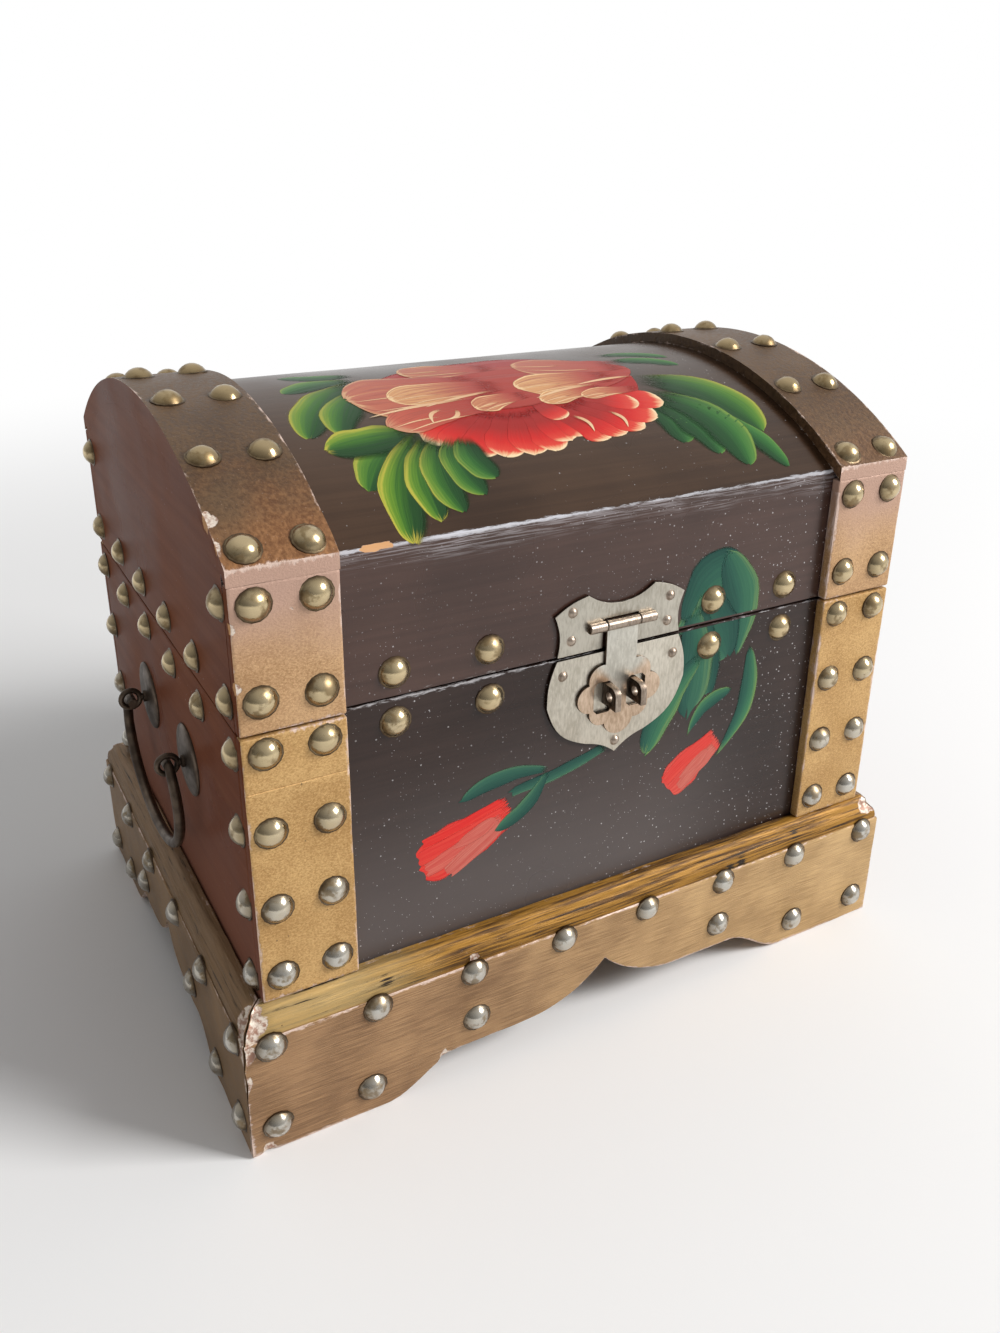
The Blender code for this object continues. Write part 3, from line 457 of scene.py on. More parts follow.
def plinth_board(name, turn, wall, half_wall, scallop, material):
    """A moulded section swept along one side, scalloped below and mitred at both ends."""
    outer = half_wall + fit + plinth_thick
    straight = half_wall - mitre_reach
    section = plinth_section()
    rows, columns = len(section), 2 * round(outer / plinth_cell)
    shape = bmesh.new()
    edge = shape.verts.layers.float.new("edge")
    bmesh.ops.create_grid(shape, x_segments=columns, y_segments=rows, size=1.0)
    for vert in shape.verts:
        along = vert.co.x * outer
        out, rise, wear = section[round((vert.co.y + 1) / 2 * rows) % rows]
        low = apron(along, outer, *scallop)
        level = low + rise * (step_level - low) if rise <= 1 else step_level + (rise - 1) * ovolo_height
        vert[edge] = max(wear, 1 - (outer - abs(along)) / wear_reach)
        if abs(along) > straight:
            reach = (half_wall + fit / 2 + out - straight) / (outer - straight)
            along = math.copysign(straight + (abs(along) - straight) * reach, along)
        vert.co = Matrix.Rotation(turn, 3, "Z") @ Vector((along, -(wall + fit + out), level))
    bmesh.ops.remove_doubles(shape, verts=shape.verts, dist=1e-7)
    bmesh.ops.holes_fill(shape, edges=[rim for rim in shape.edges if rim.is_boundary], sides=0)
    bmesh.ops.recalc_face_normals(shape, faces=shape.faces)
    outwards = Matrix.Rotation(turn, 3, "Z") @ Vector((0, -1, 0))
    faced(shape, 1, lambda normal, middle: normal.dot(outwards) < -facing_limit)
    chipped(shape)
    waved(shape, plinth_wave, plinth_wave_size)
    for vert in shape.verts:
        vert.co.z = max(vert.co.z, 0.0)
    piece(name + "_moulded", shape, (material, bare_wood), "base", "bronze_paint", name)


bronze_dark, bronze_light = (0.185, 0.100, 0.048, 1), (0.410, 0.240, 0.120, 1)
gilt_dark, gilt_light, gilt_pale = (0.09, 0.038, 0.006, 1), (0.35, 0.172, 0.026, 1), (0.54, 0.39, 0.17, 1)
shaded_shelf_dark, shaded_shelf_light = (0.120, 0.066, 0.028, 1), (0.240, 0.142, 0.066, 1)
# Front and rear plinth boards, whose bronze is painted lighter towards the right as painted light.
bronze_long = metallic_paint("bronze_paint_along_front", bronze_dark, bronze_light, (75.0, 1500.0, 2600.0),
                             rub=(200.0, 600.0, 600.0),
                             gilt=(gilt_dark, gilt_light, (45.0, 900.0, 1300.0), gilt_pale),
                             painted_light_right=((0.39, 0.242, 0.098, 1), (0.63, 0.420, 0.198, 1)))
# Painted shade: the end boards take a darker copy of the bronze and of the gilt on their moulding.
shaded_bronze_ends = metallic_paint("bronze_paint_along_ends", (0.150, 0.084, 0.036, 1), (0.330, 0.196, 0.090, 1),
                             (1500.0, 75.0, 2600.0), rub=(600.0, 200.0, 600.0),
                             gilt=(shaded_shelf_dark, shaded_shelf_light, (900.0, 60.0, 1300.0), shaded_shelf_light))
wood_dark, wood_light = (0.20, 0.11, 0.05, 1), (0.42, 0.27, 0.14, 1)
bare_wood = wood("bare_softwood", wood_dark, wood_light, (9.0, 160.0, 160.0))
bare_end_wood = wood("bare_end_softwood", wood_dark, wood_light, (160.0, 9.0, 160.0))
plinth_board("plinth_front", front, half_depth, half_width, front_apron, bronze_long)
plinth_board("plinth_rear", rear, half_depth, half_width, front_apron, bronze_long)
plinth_board("plinth_left", left, half_width, half_depth, side_apron, shaded_bronze_ends)
plinth_board("plinth_right", right, half_width, half_depth, side_apron, shaded_bronze_ends)

# Base: front, rear and two ends nailed round a thin floor, all of softwood.
# Front and rear have dark brown lacquer with dust caught in it and a painted sheen, the ends maroon lacquer
# with painted light and shade.
board_thick = 0.0090
seam_low, seam_high = 0.1307, 0.1315
floor_low, floor_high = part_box("base_floor")
board_soft = 0.0006
board_cell = 0.0060
edge_loops = (0.0010, 0.0022, 0.0040)
scuff_foot, scuff_head = 0.1660, 0.1736


def cut_across(shape, place, normal, **options):
    """Cut a mesh along a plane."""
    bmesh.ops.bisect_plane(shape, geom=shape.verts[:] + shape.edges[:] + shape.faces[:], plane_co=place,
                           plane_no=normal, **options)


def sawn_board(low, high, soft=board_soft, cell=board_cell):
    """A board between two corners, with rounded edges, cut into cells and marked by closeness to an edge."""
    low, high = Vector(low), Vector(high)
    size = high - low
    shape = bmesh.new()
    edge = shape.verts.layers.float.new("edge")
    bmesh.ops.create_cube(shape, matrix=Matrix.Translation((low + high) / 2) @ Matrix.Diagonal((*size, 1)))
    if soft:
        bmesh.ops.bevel(shape, geom=shape.edges[:], offset=soft, offset_type="OFFSET", segments=2,
                        profile=0.5, affect="EDGES", material=-1)
    for axis in range(3):
        along = Vector([1.0 if axis == other else 0.0 for other in range(3)])
        steps = int(size[axis] / cell)
        cuts = [low[axis] + size[axis] * step / steps for step in range(1, steps)] if steps > 2 else []
        cuts += [place for loop in edge_loops if size[axis] > 3 * loop
                 for place in (low[axis] + loop, high[axis] - loop)]
        for place in cuts:
            cut_across(shape, along * place, along)
    for vert in shape.verts:
        inside = sorted(min(vert.co[axis] - low[axis], high[axis] - vert.co[axis]) for axis in range(3))
        vert[edge] = max(0.0, 1 - inside[1] / wear_reach)
    return shape


def lacquer(name, dark, light, stretch, worn=(0.44, 0.41, 0.40, 1), wear=0.62, dust=0.20, rough=0.27,
            rub=(170.0, 900.0, 900.0), gloss=0.46, painted_sheen=0.0, sheen_colour=(0.122, 0.103, 0.098, 1),
            scuffed=0.0, lit=None):
    """Spirit lacquer on wood: satin, with faint brush marks, pale dust specks and rubbed edges, and painted
    light and shade.
    """
    material, tree, sockets = coated(name, rough, gloss=gloss)
    grain = placed(tree, brush_grain, Stretch=stretch, Blotch=20.0)
    tone = plus(tree, times(tree, grain["Grain"], 0.7), grain["Patch"])
    toned = ranged(tree, tone, 0.55, 1.20)
    colour = mixed(tree, toned, dark, light)
    place = axes(tree)
    # Painted shade: from the middle of the box to the right the lacquer takes the deeper tones, so the
    # lamp-lit right end looks darker.
    if lit:
        colour = mixed(tree, ranged(tree, place[0], -0.05, 0.05), colour, mixed(tree, toned, *lit))
    # Painted sheen: a pale film low down and towards the left of the box stands in for reflected light.
    sheen_level = plus(tree, place[2], times(tree, grain["Patch"], 0.03))
    sheen_mask = ranged(tree, sheen_level, 0.135, 0.070, 0.0, painted_sheen)
    sheen_mask = times(tree, sheen_mask, ranged(tree, place[0], 0.010, 0.075, 1.0, 0.0))
    colour = mixed(tree, sheen_mask, colour, sheen_colour)
    # Pale specks: real dust, strewn more thickly towards the right as painted glints.
    dust_and_glint_share = ranged(tree, place[0], -0.03, 0.08, dust * 0.6, dust * 2.0)
    specks = placed(tree, fine_specks, Scale=700.0, Share=dust_and_glint_share)["Mask"]
    motes = placed(tree, fine_specks, Scale=1300.0, Share=dust)["Mask"]
    thickly = ranged(tree, plus(tree, grain["Patch"], place[0]), 0.30, 0.75, 0.15, 0.95)
    dust_and_glints = times(tree, most(tree, specks, motes), thickly)
    colour = mixed(tree, dust_and_glints, colour, (0.50, 0.48, 0.48, 1))
    rubbed = placed(tree, edge_wear, Amount=wear, Stretch=rub)
    colour = mixed(tree, rubbed["Mask"], colour, mixed(tree, grain["Grain"], (0.16, 0.15, 0.15, 1), worn))
    if scuffed:
        streaks = placed(tree, brush_grain, Stretch=(70.0, 2400.0, 2400.0), Blotch=60.0)
        level = plus(tree, place[2], times(tree, less(tree, streaks["Patch"], 0.5), 0.008))
        scuff = times(tree, ranged(tree, level, scuff_foot, scuff_head, 0.0, scuffed),
                      ranged(tree, streaks["Grain"], 0.46, 0.60))
        colour = mixed(tree, scuff, colour, (0.40, 0.37, 0.38, 1))
    colour = mixed(tree, rubbed["Chip"], colour, (0.62, 0.33, 0.15, 1))
    tree.links.new(colour, sockets["Base Color"])
    tree.links.new(ranged(tree, grain["Patch"], 0.3, 0.7, rough - 0.05, rough + 0.10), sockets["Roughness"])
    peel = placed(tree, brush_grain, Stretch=(750.0, 750.0, 750.0), Blotch=260.0)["Grain"]
    relief = plus(tree, times(tree, grain["Grain"], 0.3), times(tree, dust_and_glints, 0.4))
    relief = plus(tree, relief, times(tree, peel, 0.5))
    bumped(tree, sockets, less(tree, relief, rubbed["Mask"]), 0.14, 0.0004)
    return material


def sunk(shape, low, high, level, step=0.00005):
    """Let a rebate into a board: the faces between two corners go down, or up, to a level."""
    for axis, place in ((0, low[0]), (0, low[0] + step), (0, high[0] - step), (0, high[0]),
                        (1, low[1]), (1, low[1] + step)):
        along = Vector([1.0 if axis == other else 0.0 for other in range(3)])
        cut_across(shape, along * place, along)
    for vert in shape.verts:
        beside = low[0] + step / 2 < vert.co.x < high[0] - step / 2 and vert.co.y > low[1] + step / 2
        if beside and min(level, high[2]) <= vert.co.z <= max(level, high[2]):
            vert.co.z = level


board_grain = (12.0, 420.0, 420.0)
brown_dark, brown_light = (0.036, 0.016, 0.011, 1), (0.068, 0.033, 0.024, 1)
brown_lacquer = lacquer("brown_lacquer", brown_dark, brown_light, board_grain, dust=0.26, scuffed=0.55)
# The base's front and rear carry a strong painted sheen, pale and low down on the left.
sheened_lacquer = lacquer("sheened_lacquer", (0.015, 0.007, 0.005, 1), (0.032, 0.017, 0.013, 1), board_grain,
                        worn=(0.62, 0.60, 0.61, 1), wear=0.76, rub=(260.0, 1500.0, 1500.0), gloss=0.34,
                        painted_sheen=0.58)
# The ends carry a painted sheen low down on the left and painted shade on the right end.
maroon_lacquer = lacquer("maroon_lacquer", (0.142, 0.042, 0.020, 1), (0.222, 0.080, 0.040, 1),
                         (200.0, 12.0, 260.0), worn=(0.26, 0.12, 0.08, 1), wear=0.45, dust=0.02, rough=0.30,
                         rub=(900.0, 170.0, 900.0), gloss=0.008, painted_sheen=0.45, sheen_colour=(0.245, 0.118, 0.090, 1),
                         lit=((0.070, 0.018, 0.010, 1), (0.115, 0.036, 0.020, 1)))
hinge_place, hinge_length, hinge_sheet, hinge_lip = 0.0528, 0.0180, 0.0010, 0.0020
hinge_spans = [(side * hinge_place - hinge_length / 2 - fit, side * hinge_place + hinge_length / 2 + fit)
               for side in (-1, 1)]
inner_half = half_width - board_thick - fit
base_rebate = seam_low - hinge_sheet - fit
for name, side in (("front", -1), ("rear", 1)):
    faces = sorted((side * half_depth, side * (half_depth - board_thick)))
    board = sawn_board((-inner_half, faces[0], floor_low.z), (inner_half, faces[1], seam_low))
    if name == "rear":
        for first, last in hinge_spans:
            sunk(board, (first, faces[0] + hinge_lip), (last, faces[1], seam_low), base_rebate)
    faced(board, 1, lambda normal, middle: normal.y * side < -facing_limit)
    waved(board, panel_wave, wave_size)
    piece(f"base_{name}_panel", board, (sheened_lacquer, bare_wood), "base", "dark_lacquer",
          f"base_{name}_board")
for name, side in (("left", -1), ("right", 1)):
    faces = sorted((side * half_width, side * (half_width - board_thick)))
    board = sawn_board((faces[0], -half_depth, floor_low.z), (faces[1], half_depth, seam_low))
    faced(board, 1, lambda normal, middle: normal.x * side < -facing_limit)
    waved(board, panel_wave, wave_size)
    piece(f"base_{name}_panel", board, (maroon_lacquer, bare_end_wood), "base", "maroon_lacquer",
          f"base_{name}_end")
floor_board = sawn_board(floor_low, floor_high)
piece("base_floor_board", floor_board, bare_wood, "base", "bare_wood", "base_floor")

# Upright bands: four thin strips of wood nailed over the corners of the base, painted gold.
# Their long edges are rubbed to a pinkish ground.
band_width, band_thick = 0.0282, 0.0032
band_face = half_depth + fit + band_thick
band_cell, band_chip = 0.0025, 0.0006
band_wave, band_wave_size = 0.00016, 0.012
face_reach = 0.0008
crease_level, crease_half, crease_depth = 0.1150, 0.0003, 0.00022
gold_paint = metallic_paint("gold_paint", (0.365, 0.200, 0.066, 1), (0.610, 0.385, 0.160, 1),
                            (1500.0, 1500.0, 2100.0), wear=0.80)


def flanked(shape):
    """Paint the faces that look out past the ends as the ends are."""
    end = half_width - face_reach
    faced(shape, 1, lambda normal, middle: abs(normal.x) > facing_limit and abs(middle.x) > end)


def creased(shape):
    """Press a shallow line across a band."""
    for level in (crease_level - crease_half, crease_level, crease_level + crease_half):
        cut_across(shape, (0, 0, level), (0, 0, 1))
    for vert in shape.verts:
        if abs(vert.co.z - crease_level) < crease_half / 2 and vert.co.y < -half_depth - band_thick / 2:
            vert.co.y += crease_depth


for end, facing in (("front", -1), ("rear", 1)):
    for name, side in (("left", -1), ("right", 1)):
        across = sorted((side * half_width, side * (half_width - band_width)))
        depth = sorted((facing * band_face, facing * half_depth))
        band = sawn_board((across[0], depth[0], plinth_height), (across[1], depth[1], seam_low),
                          cell=band_cell)
        if (end, name) == ("front", "left"):
            creased(band)
        flanked(band)
        chipped(band, band_chip)
        waved(band, band_wave, band_wave_size)
        piece(f"base_{end}_{name}_gilt_band", band, (gold_paint, maroon_lacquer), "base", "gold_paint",
              f"base_{end}_{name}_band")

# Lid: front, rear and two arched ends under a thin board bent over them.
# It is lacquered as the base is, and the front edge of the bent board is rubbed down to the ground.
dome_rise, top_thick = 0.0247, 0.0040
square_edge, rub_reach = 0.0, 0.0026
top_cell, top_chip, dome_wave = 0.0030, 0.0004, 0.00010
square_limit = 0.95
dome_radius = (half_depth ** 2 + dome_rise ** 2) / (2 * dome_rise)
dome_centre = top_high.z - dome_radius
under_top = dome_radius - top_thick


def bent(shape, radius, half_span):
    """Bend a flat board over the dome: its outer face starts at z = 0, and its ends come out upright."""
    flat_half = max(vert.co.y for vert in shape.verts)
    for vert in shape.verts:
        reach = radius + vert.co.z
        turn = vert.co.y / flat_half * math.asin(half_span / reach)
        vert.co.y, vert.co.z = reach * math.sin(turn), dome_centre + reach * math.cos(turn)


def spared(shape, level):
    """Keep the wear off a board above a level, where another piece covers it."""
    edge = shape.verts.layers.float["edge"]
    for vert in shape.verts:
        if vert.co.z > level:
            vert[edge] = 0.0


def arched(shape, radius):
    """Raise the upper edge of a board to the curve of the dome."""
    low, high = min(vert.co.z for vert in shape.verts), max(vert.co.z for vert in shape.verts)
    for vert in shape.verts:
        crown = dome_centre + math.sqrt(radius ** 2 - vert.co.y ** 2)
        vert.co.z = low + (vert.co.z - low) * (crown - low) / (high - low)


pale_ground, top_rub = (0.80, 0.80, 0.86, 1), (220.0, 1500.0, 1500.0)
dome_lacquer = lacquer("dome_lacquer", (0.032, 0.015, 0.007, 1), (0.064, 0.033, 0.017, 1), board_grain,
                       worn=pale_ground, wear=0.92, dust=0.06, rough=0.24, gloss=0.24, rub=top_rub)
brow_lacquer = lacquer("brow_lacquer", brown_dark, brown_light, board_grain, worn=pale_ground, wear=0.92,
                       rub=top_rub, dust=0.26, scuffed=0.55)
lid_side_top = dome_centre + math.sqrt(under_top ** 2 - half_depth ** 2)
lid_rebate = seam_high + hinge_sheet + fit
for name, side in (("front", -1), ("rear", 1)):
    faces = sorted((side * half_depth, side * (half_depth - board_thick)))
    board = sawn_board((-inner_half, faces[0], seam_high), (inner_half, faces[1], lid_side_top),
                       soft=square_edge)
    spared(board, lid_side_top - wear_reach)
    if name == "rear":
        for first, last in hinge_spans:
            sunk(board, (first, faces[0] + hinge_lip), (last, faces[1], seam_high), lid_rebate)
    arched(board, under_top)
    faced(board, 1, lambda normal, middle: normal.y * side < -facing_limit)
    waved(board, panel_wave, wave_size)
    piece(f"lid_{name}_panel", board, (brown_lacquer, bare_wood), "lid", "dark_lacquer", f"lid_{name}_board")
for name, side in (("left", -1), ("right", 1)):
    faces = sorted((side * half_width, side * (half_width - board_thick)))
    board = sawn_board((faces[0], -half_depth, seam_high), (faces[1], half_depth, top_high.z - top_thick),
                       soft=square_edge)
    arched(board, under_top)
    faced(board, 1, lambda normal, middle: normal.x * side < -facing_limit)
    waved(board, panel_wave, wave_size)
    piece(f"lid_{name}_panel", board, (maroon_lacquer, bare_end_wood), "lid", "maroon_lacquer",
          f"lid_{name}_end")
top_half = dome_radius * math.asin(half_depth / dome_radius)
board = sawn_board((-half_width, -top_half, -top_thick), (half_width, top_half, 0), square_edge, top_cell)
bent(board, dome_radius, half_depth)
chipped(board, top_chip)
edge = board.verts.layers.float["edge"]
brow = Vector((half_depth, dome_centre + math.sqrt(dome_radius ** 2 - half_depth ** 2)))
for vert in board.verts:
    vert[edge] = max(0.0, 1 - (Vector((abs(vert.co.y), vert.co.z)) - brow).length / rub_reach)
flanked(board)
faced(board, 2, lambda normal, middle: normal.dot(Vector((0, middle.y, middle.z - dome_centre))) < 0)
brow_face = half_depth - face_reach
faced(board, 3, lambda normal, middle: abs(normal.y) > square_limit and abs(middle.y) > brow_face)
waved(board, dome_wave, wave_size)
piece("lid_dome_panel", board, (dome_lacquer, maroon_lacquer, bare_wood, brow_lacquer), "lid", "dark_lacquer",
      "lid_top_board")

# Lid bands: two thin strips bent over the dome and four short upright ones below them, all nailed on.
# The bent ones are dark bronze, worn to copper towards the front; the short ones are pale gold.
band_radius = dome_radius + fit + band_thick
bent_chip = 0.0008
bent_end = band_face - face_reach
strip_top = dome_centre + math.sqrt((dome_radius + fit) ** 2 - band_face ** 2) - fit
dome_bronze = metallic_paint("dome_bronze_paint", (0.066, 0.036, 0.018, 1), (0.138, 0.080, 0.040, 1),
                             (900.0, 700.0, 700.0), wear=0.72, rub=(600.0, 220.0, 300.0),
                             copper=((0.140, 0.056, 0.020, 1), 0.192, 0.206, (0.330, 0.160, 0.066, 1)))
strip_gold = metallic_paint("strip_gold_paint", (0.350, 0.195, 0.090, 1), (0.580, 0.365, 0.190, 1),
                            (1500.0, 1500.0, 2100.0), wear=0.85,
                            blush=((0.46, 0.295, 0.225, 1), 0.156, 0.180))
for name, side in (("left", -1), ("right", 1)):
    across = sorted((side * half_width, side * (half_width - band_width)))
    flat_half = band_radius * math.asin(band_face / band_radius)
    band = sawn_board((across[0], -flat_half, -band_thick - fit), (across[1], flat_half, 0),
                      square_edge, band_cell)
    bent(band, band_radius, band_face)
    edge = band.verts.layers.float["edge"]
    for vert in band.verts:
        if abs(vert.co.y) > bent_end and vert.co.z < strip_top + band_thick / 2:
            vert[edge] = 0.0
    flanked(band)
    faced(band, 2, lambda normal, middle: abs(normal.y) > square_limit and abs(middle.y) > bent_end)
    chipped(band, bent_chip)
    waved(band, band_wave, band_wave_size)
    piece(f"lid_{name}_bent_band", band, (dome_bronze, maroon_lacquer, strip_gold), "lid", "bronze_paint",
          f"lid_{name}_band")
    for end, facing in (("front", -1), ("rear", 1)):
        depth = sorted((facing * band_face, facing * half_depth))
        strip = sawn_board((across[0], depth[0], seam_high), (across[1], depth[1], strip_top), cell=band_cell)
        spared(strip, strip_top - wear_reach)
        flanked(strip)
        chipped(strip, band_chip)
        waved(strip, band_wave, band_wave_size)
        piece(f"lid_{end}_{name}_gilt_strip", strip, (strip_gold, maroon_lacquer), "lid", "gold_paint",
              f"lid_{end}_{name}_strip")

# Domed nails: pressed brass heads driven in along the bands, the seam, the ends and the plinth.
# They are tarnished and darkest round the rim, with painted shade there too; the lower ones are rubbed to a
# silvery grey.
nail_radius, nail_rise, nail_sink = 0.0047, 0.0029, 0.0004
nail_brim, brim_rise = 0.0005, 0.0003
nail_sides, nail_rings = 14, 4
nail_seed, nail_scatter, nail_spin = 4, 900, 9
nail_lean, nail_shift, nail_press = 0.10, 0.0005, 0.0001
band_columns = (-0.0079, 0.0079)
base_band_rows = (0.1255, 0.1022, 0.0789, 0.0565)
corner_reach = 0.0052
lid_strip_rows = (0.1401, strip_top - corner_reach)
dome_rows = 6
seam_rise = 0.0070
front_seam_nails = (0.0385, 0.0670)
end_seam_nails = 6
end_edge = half_depth - 0.0040
base_end_rows = (0.1007, 0.0774, 0.0540)
lid_end_row = 0.1650
plinth_row = step_level - 0.0033
plinth_inset = 0.0080
foot_row, apron_row = 0.0092, 0.0201


def turned(shape, section, steps):
    """A section in radius and height turned about z."""
    points = [shape.verts.new((radius, 0, rise)) for radius, rise in section]
    lines = [shape.edges.new(pair) for pair in zip(points, points[1:])]
    bmesh.ops.spin(shape, geom=points + lines, axis=(0, 0, 1), cent=(0, 0, 0), angle=math.tau, steps=steps,
                   use_merge=True)


def nail_mesh():
    """One nail head turned about z, with its rim just under the surface it is driven into."""
    shape = bmesh.new()
    rim = shape.verts.layers.float.new("rim")
    dome, crown = nail_radius - nail_brim, nail_rise - brim_rise
    ball = (dome ** 2 + crown ** 2) / (2 * crown)
    turns = [math.asin(dome / ball) * ring / nail_rings for ring in range(nail_rings + 1)]
    profile = [(ball * math.sin(turn), ball * (math.cos(turn) - 1) + nail_rise) for turn in turns]
    profile += [(nail_radius, brim_rise / 2), (nail_radius, -nail_sink)]
    turned(shape, profile, nail_sides)
    bmesh.ops.remove_doubles(shape, verts=shape.verts, dist=1e-6)
    bmesh.ops.holes_fill(shape, edges=[line for line in shape.edges if line.is_boundary], sides=0)
    bmesh.ops.recalc_face_normals(shape, faces=shape.faces)
    for vert in shape.verts:
        vert[rim] = vert.co.xy.length / nail_radius
    mesh = bpy.data.meshes.new("nail_head")
    shape.to_mesh(mesh)
    shape.free()
    return mesh


def on_side(turn, wall, along, height):
    """Frame on an upright face of the box, with z pointing outwards."""
    return (Matrix.Rotation(turn, 4, "Z") @ Matrix.Translation((along, -wall, height))
            @ Matrix.Rotation(math.pi / 2, 4, "X"))


def nails(name, body, places, metal=None, scale=1.0):
    """Drive a nail at each frame, each one a little tilted and turned."""
    shape = bmesh.new()
    for place in places:
        before = len(shape.verts)
        shape.from_mesh(nail_head)
        shape.verts.ensure_lookup_table()
        lean = noise.noise_vector(place.translation * nail_scatter)
        tilt = Matrix.Rotation(lean.x * nail_lean, 4, "X") @ Matrix.Rotation(lean.y * nail_lean, 4, "Y")
        swing = Matrix.Translation((lean.y * nail_shift, lean.z * nail_shift, -abs(lean.x) * nail_press))
        spin = Matrix.Rotation(lean.z * nail_spin, 4, "Z")
        bmesh.ops.transform(shape, matrix=place @ swing @ tilt @ spin @ Matrix.Scale(scale, 4),
                            verts=shape.verts[before:])
    piece(name, shape, metal or tarnished_brass, body, "brass")


def brass(name):
    """Tarnished brass, silvery where it is rubbed low on the box and dark round the rims."""
    material, tree, sockets = coated(name, 0.30, metallic=1.0)
    grain = placed(tree, brush_grain, Stretch=(260.0, 260.0, 260.0), Blotch=130.0)
    rim = shade(tree, "Attribute", attribute_name="rim").outputs["Fac"]
    height = axes(tree)[2]
    rubbed = plus(tree, ranged(tree, height, 0.125, 0.055), less(tree, grain["Patch"], 0.5))
    metal = mixed(tree, rubbed, (0.58, 0.465, 0.280, 1), (0.58, 0.560, 0.510, 1))
    # Tarnish and painted shade: each head darkens towards its rim, where it meets the board.
    metal = mixed(tree, ranged(tree, rim, 0.30, 1.0, 0.0, 0.75), metal, (0.16, 0.115, 0.060, 1))
    metal = mixed(tree, ranged(tree, height, 0.172, 0.190, 0.0, 0.6), metal, (0.24, 0.17, 0.085, 1))
    stain = ranged(tree, plus(tree, grain["Grain"], times(tree, grain["Patch"], 0.6)), 0.78, 0.98)
    metal = mixed(tree, times(tree, stain, 0.75), metal, (0.20, 0.135, 0.06, 1))
    dirt_and_shade = ranged(tree, plus(tree, rim, times(tree, grain["Grain"], 0.4)), 0.95, 1.22)
    tree.links.new(mixed(tree, dirt_and_shade, metal, (0.075, 0.05, 0.03, 1)), sockets["Base Color"])
    tree.links.new(ranged(tree, plus(tree, stain, dirt_and_shade), 0.0, 1.0, 0.19, 0.42), sockets["Roughness"])
    bumped(tree, sockets, grain["Grain"], 0.12, 0.0003)
    return material


def spaced(first, last, count):
    """Evenly spaced places."""
    return [first + (last - first) * step / (count - 1) for step in range(count)]


noise.seed_set(nail_seed)
nail_head = nail_mesh()
tarnished_brass = brass("tarnished_brass")
band_middle = half_width - band_width / 2
band_lines = [side * band_middle + column for side in (-1, 1) for column in band_columns]
plinth_nails = []
for turn, wall, half_wall, scallop, count in ((front, half_depth, half_width, front_apron, 8),
                                              (rear, half_depth, half_width, front_apron, 8),
                                              (left, half_width, half_depth, side_apron, 6),
                                              (right, half_width, half_depth, side_apron, 6)):
    outer = half_wall + fit + plinth_thick
    row = outer - plinth_inset
    foot, ogee, flat = scallop
    spots = [(along, plinth_row) for along in spaced(-row, row, count)]
    for side in (-1, 1):
        spots += [(side * row, foot_row), (side * (outer - foot + nail_radius), foot_row),
                  (side * (outer - foot - ogee - flat / 4), apron_row)]
    plinth_nails += [on_side(turn, wall + fit + plinth_thick, *spot) for spot in spots]
nails("plinth_nails", "base", plinth_nails)
nails("base_band_nails", "base", [on_side(turn, band_face, along, height) for turn in (front, rear)
                                  for along in band_lines for height in base_band_rows])
seam_line = [side * along for side in (-1, 1) for along in front_seam_nails]
nails("base_seam_nails", "base", [on_side(turn, half_depth, along, seam_low - seam_rise)
                                  for turn in (front, rear) for along in seam_line])
nails("lid_seam_nails", "lid", [on_side(turn, half_depth, along, seam_high + seam_rise)
                                for turn in (front, rear) for along in seam_line])
end_line = spaced(-end_edge, end_edge, end_seam_nails)
nails("base_end_nails", "base", [on_side(turn, half_width, along, seam_low - seam_rise)
                                 for turn in (left, right) for along in end_line]
      + [on_side(turn, half_width, side * end_edge, height) for turn in (left, right) for side in (-1, 1)
         for height in base_end_rows])
nails("lid_end_nails", "lid", [on_side(turn, half_width, along, seam_high + seam_rise)
                               for turn in (left, right) for along in end_line]
      + [on_side(turn, half_width, side * end_edge, lid_end_row)
         for turn in (left, right) for side in (-1, 1)])
nails("lid_strip_nails", "lid", [on_side(turn, band_face, along, height) for turn in (front, rear)
                                 for along in band_lines for height in lid_strip_rows])
last_row = math.asin(band_face / band_radius) - corner_reach / band_radius
nails("lid_band_nails", "lid", [Matrix.Translation((along, 0, dome_centre)) @ Matrix.Rotation(turn, 4, "X")
                                @ Matrix.Translation((0, 0, band_radius))
                                for along in band_lines for turn in spaced(-last_row, last_row, dome_rows)])

# Bloom on the dome: a traditional peony in oil paint, laid on over the lacquer stroke by stroke.
# Red petals with cream tips form the skirt, and long salmon petals edged with gold cup over them.
mm = 0.001
stroke_steps, stroke_lanes, stroke_cell = 14, 6, 0.0022
hand_wobble, wobble_size = 0.20, 4.0
paint_sink, paint_layer = 0.0001, 0.000007
stroke_labels = ("along", "across", "tone", "mark")
stroke_ease, fray_size, seed_spread = 1.4, 5, 90
bloom_heart, heart_depth, blush_depth = Vector((-4.0, 24.0)), 0.45, 0.28
vein_width, vein_places, vein_root, vein_tip = 0.65, (-0.32, -0.06), 0.62, 0.97


def on_dome(across, down, lift):
    """Point over the dome: across from the middle, down from the crown line towards the front."""
    out = Vector((0, -math.sin(down / dome_radius), math.cos(down / dome_radius)))
    place = Vector((across, 0, dome_centre)) + out * dome_radius
    return place + out * (dome_wave * noise.noise(place / wave_size) + lift)


def petal(share):
    """Width of a petal along its length: a fan with a rounded end."""
    spread = 0.45 + 0.55 * min(1.0, share / 0.74)
    return spread * math.sqrt(max(0.02, 1 - max(0.0, (share - 0.74) / 0.26) ** 2))


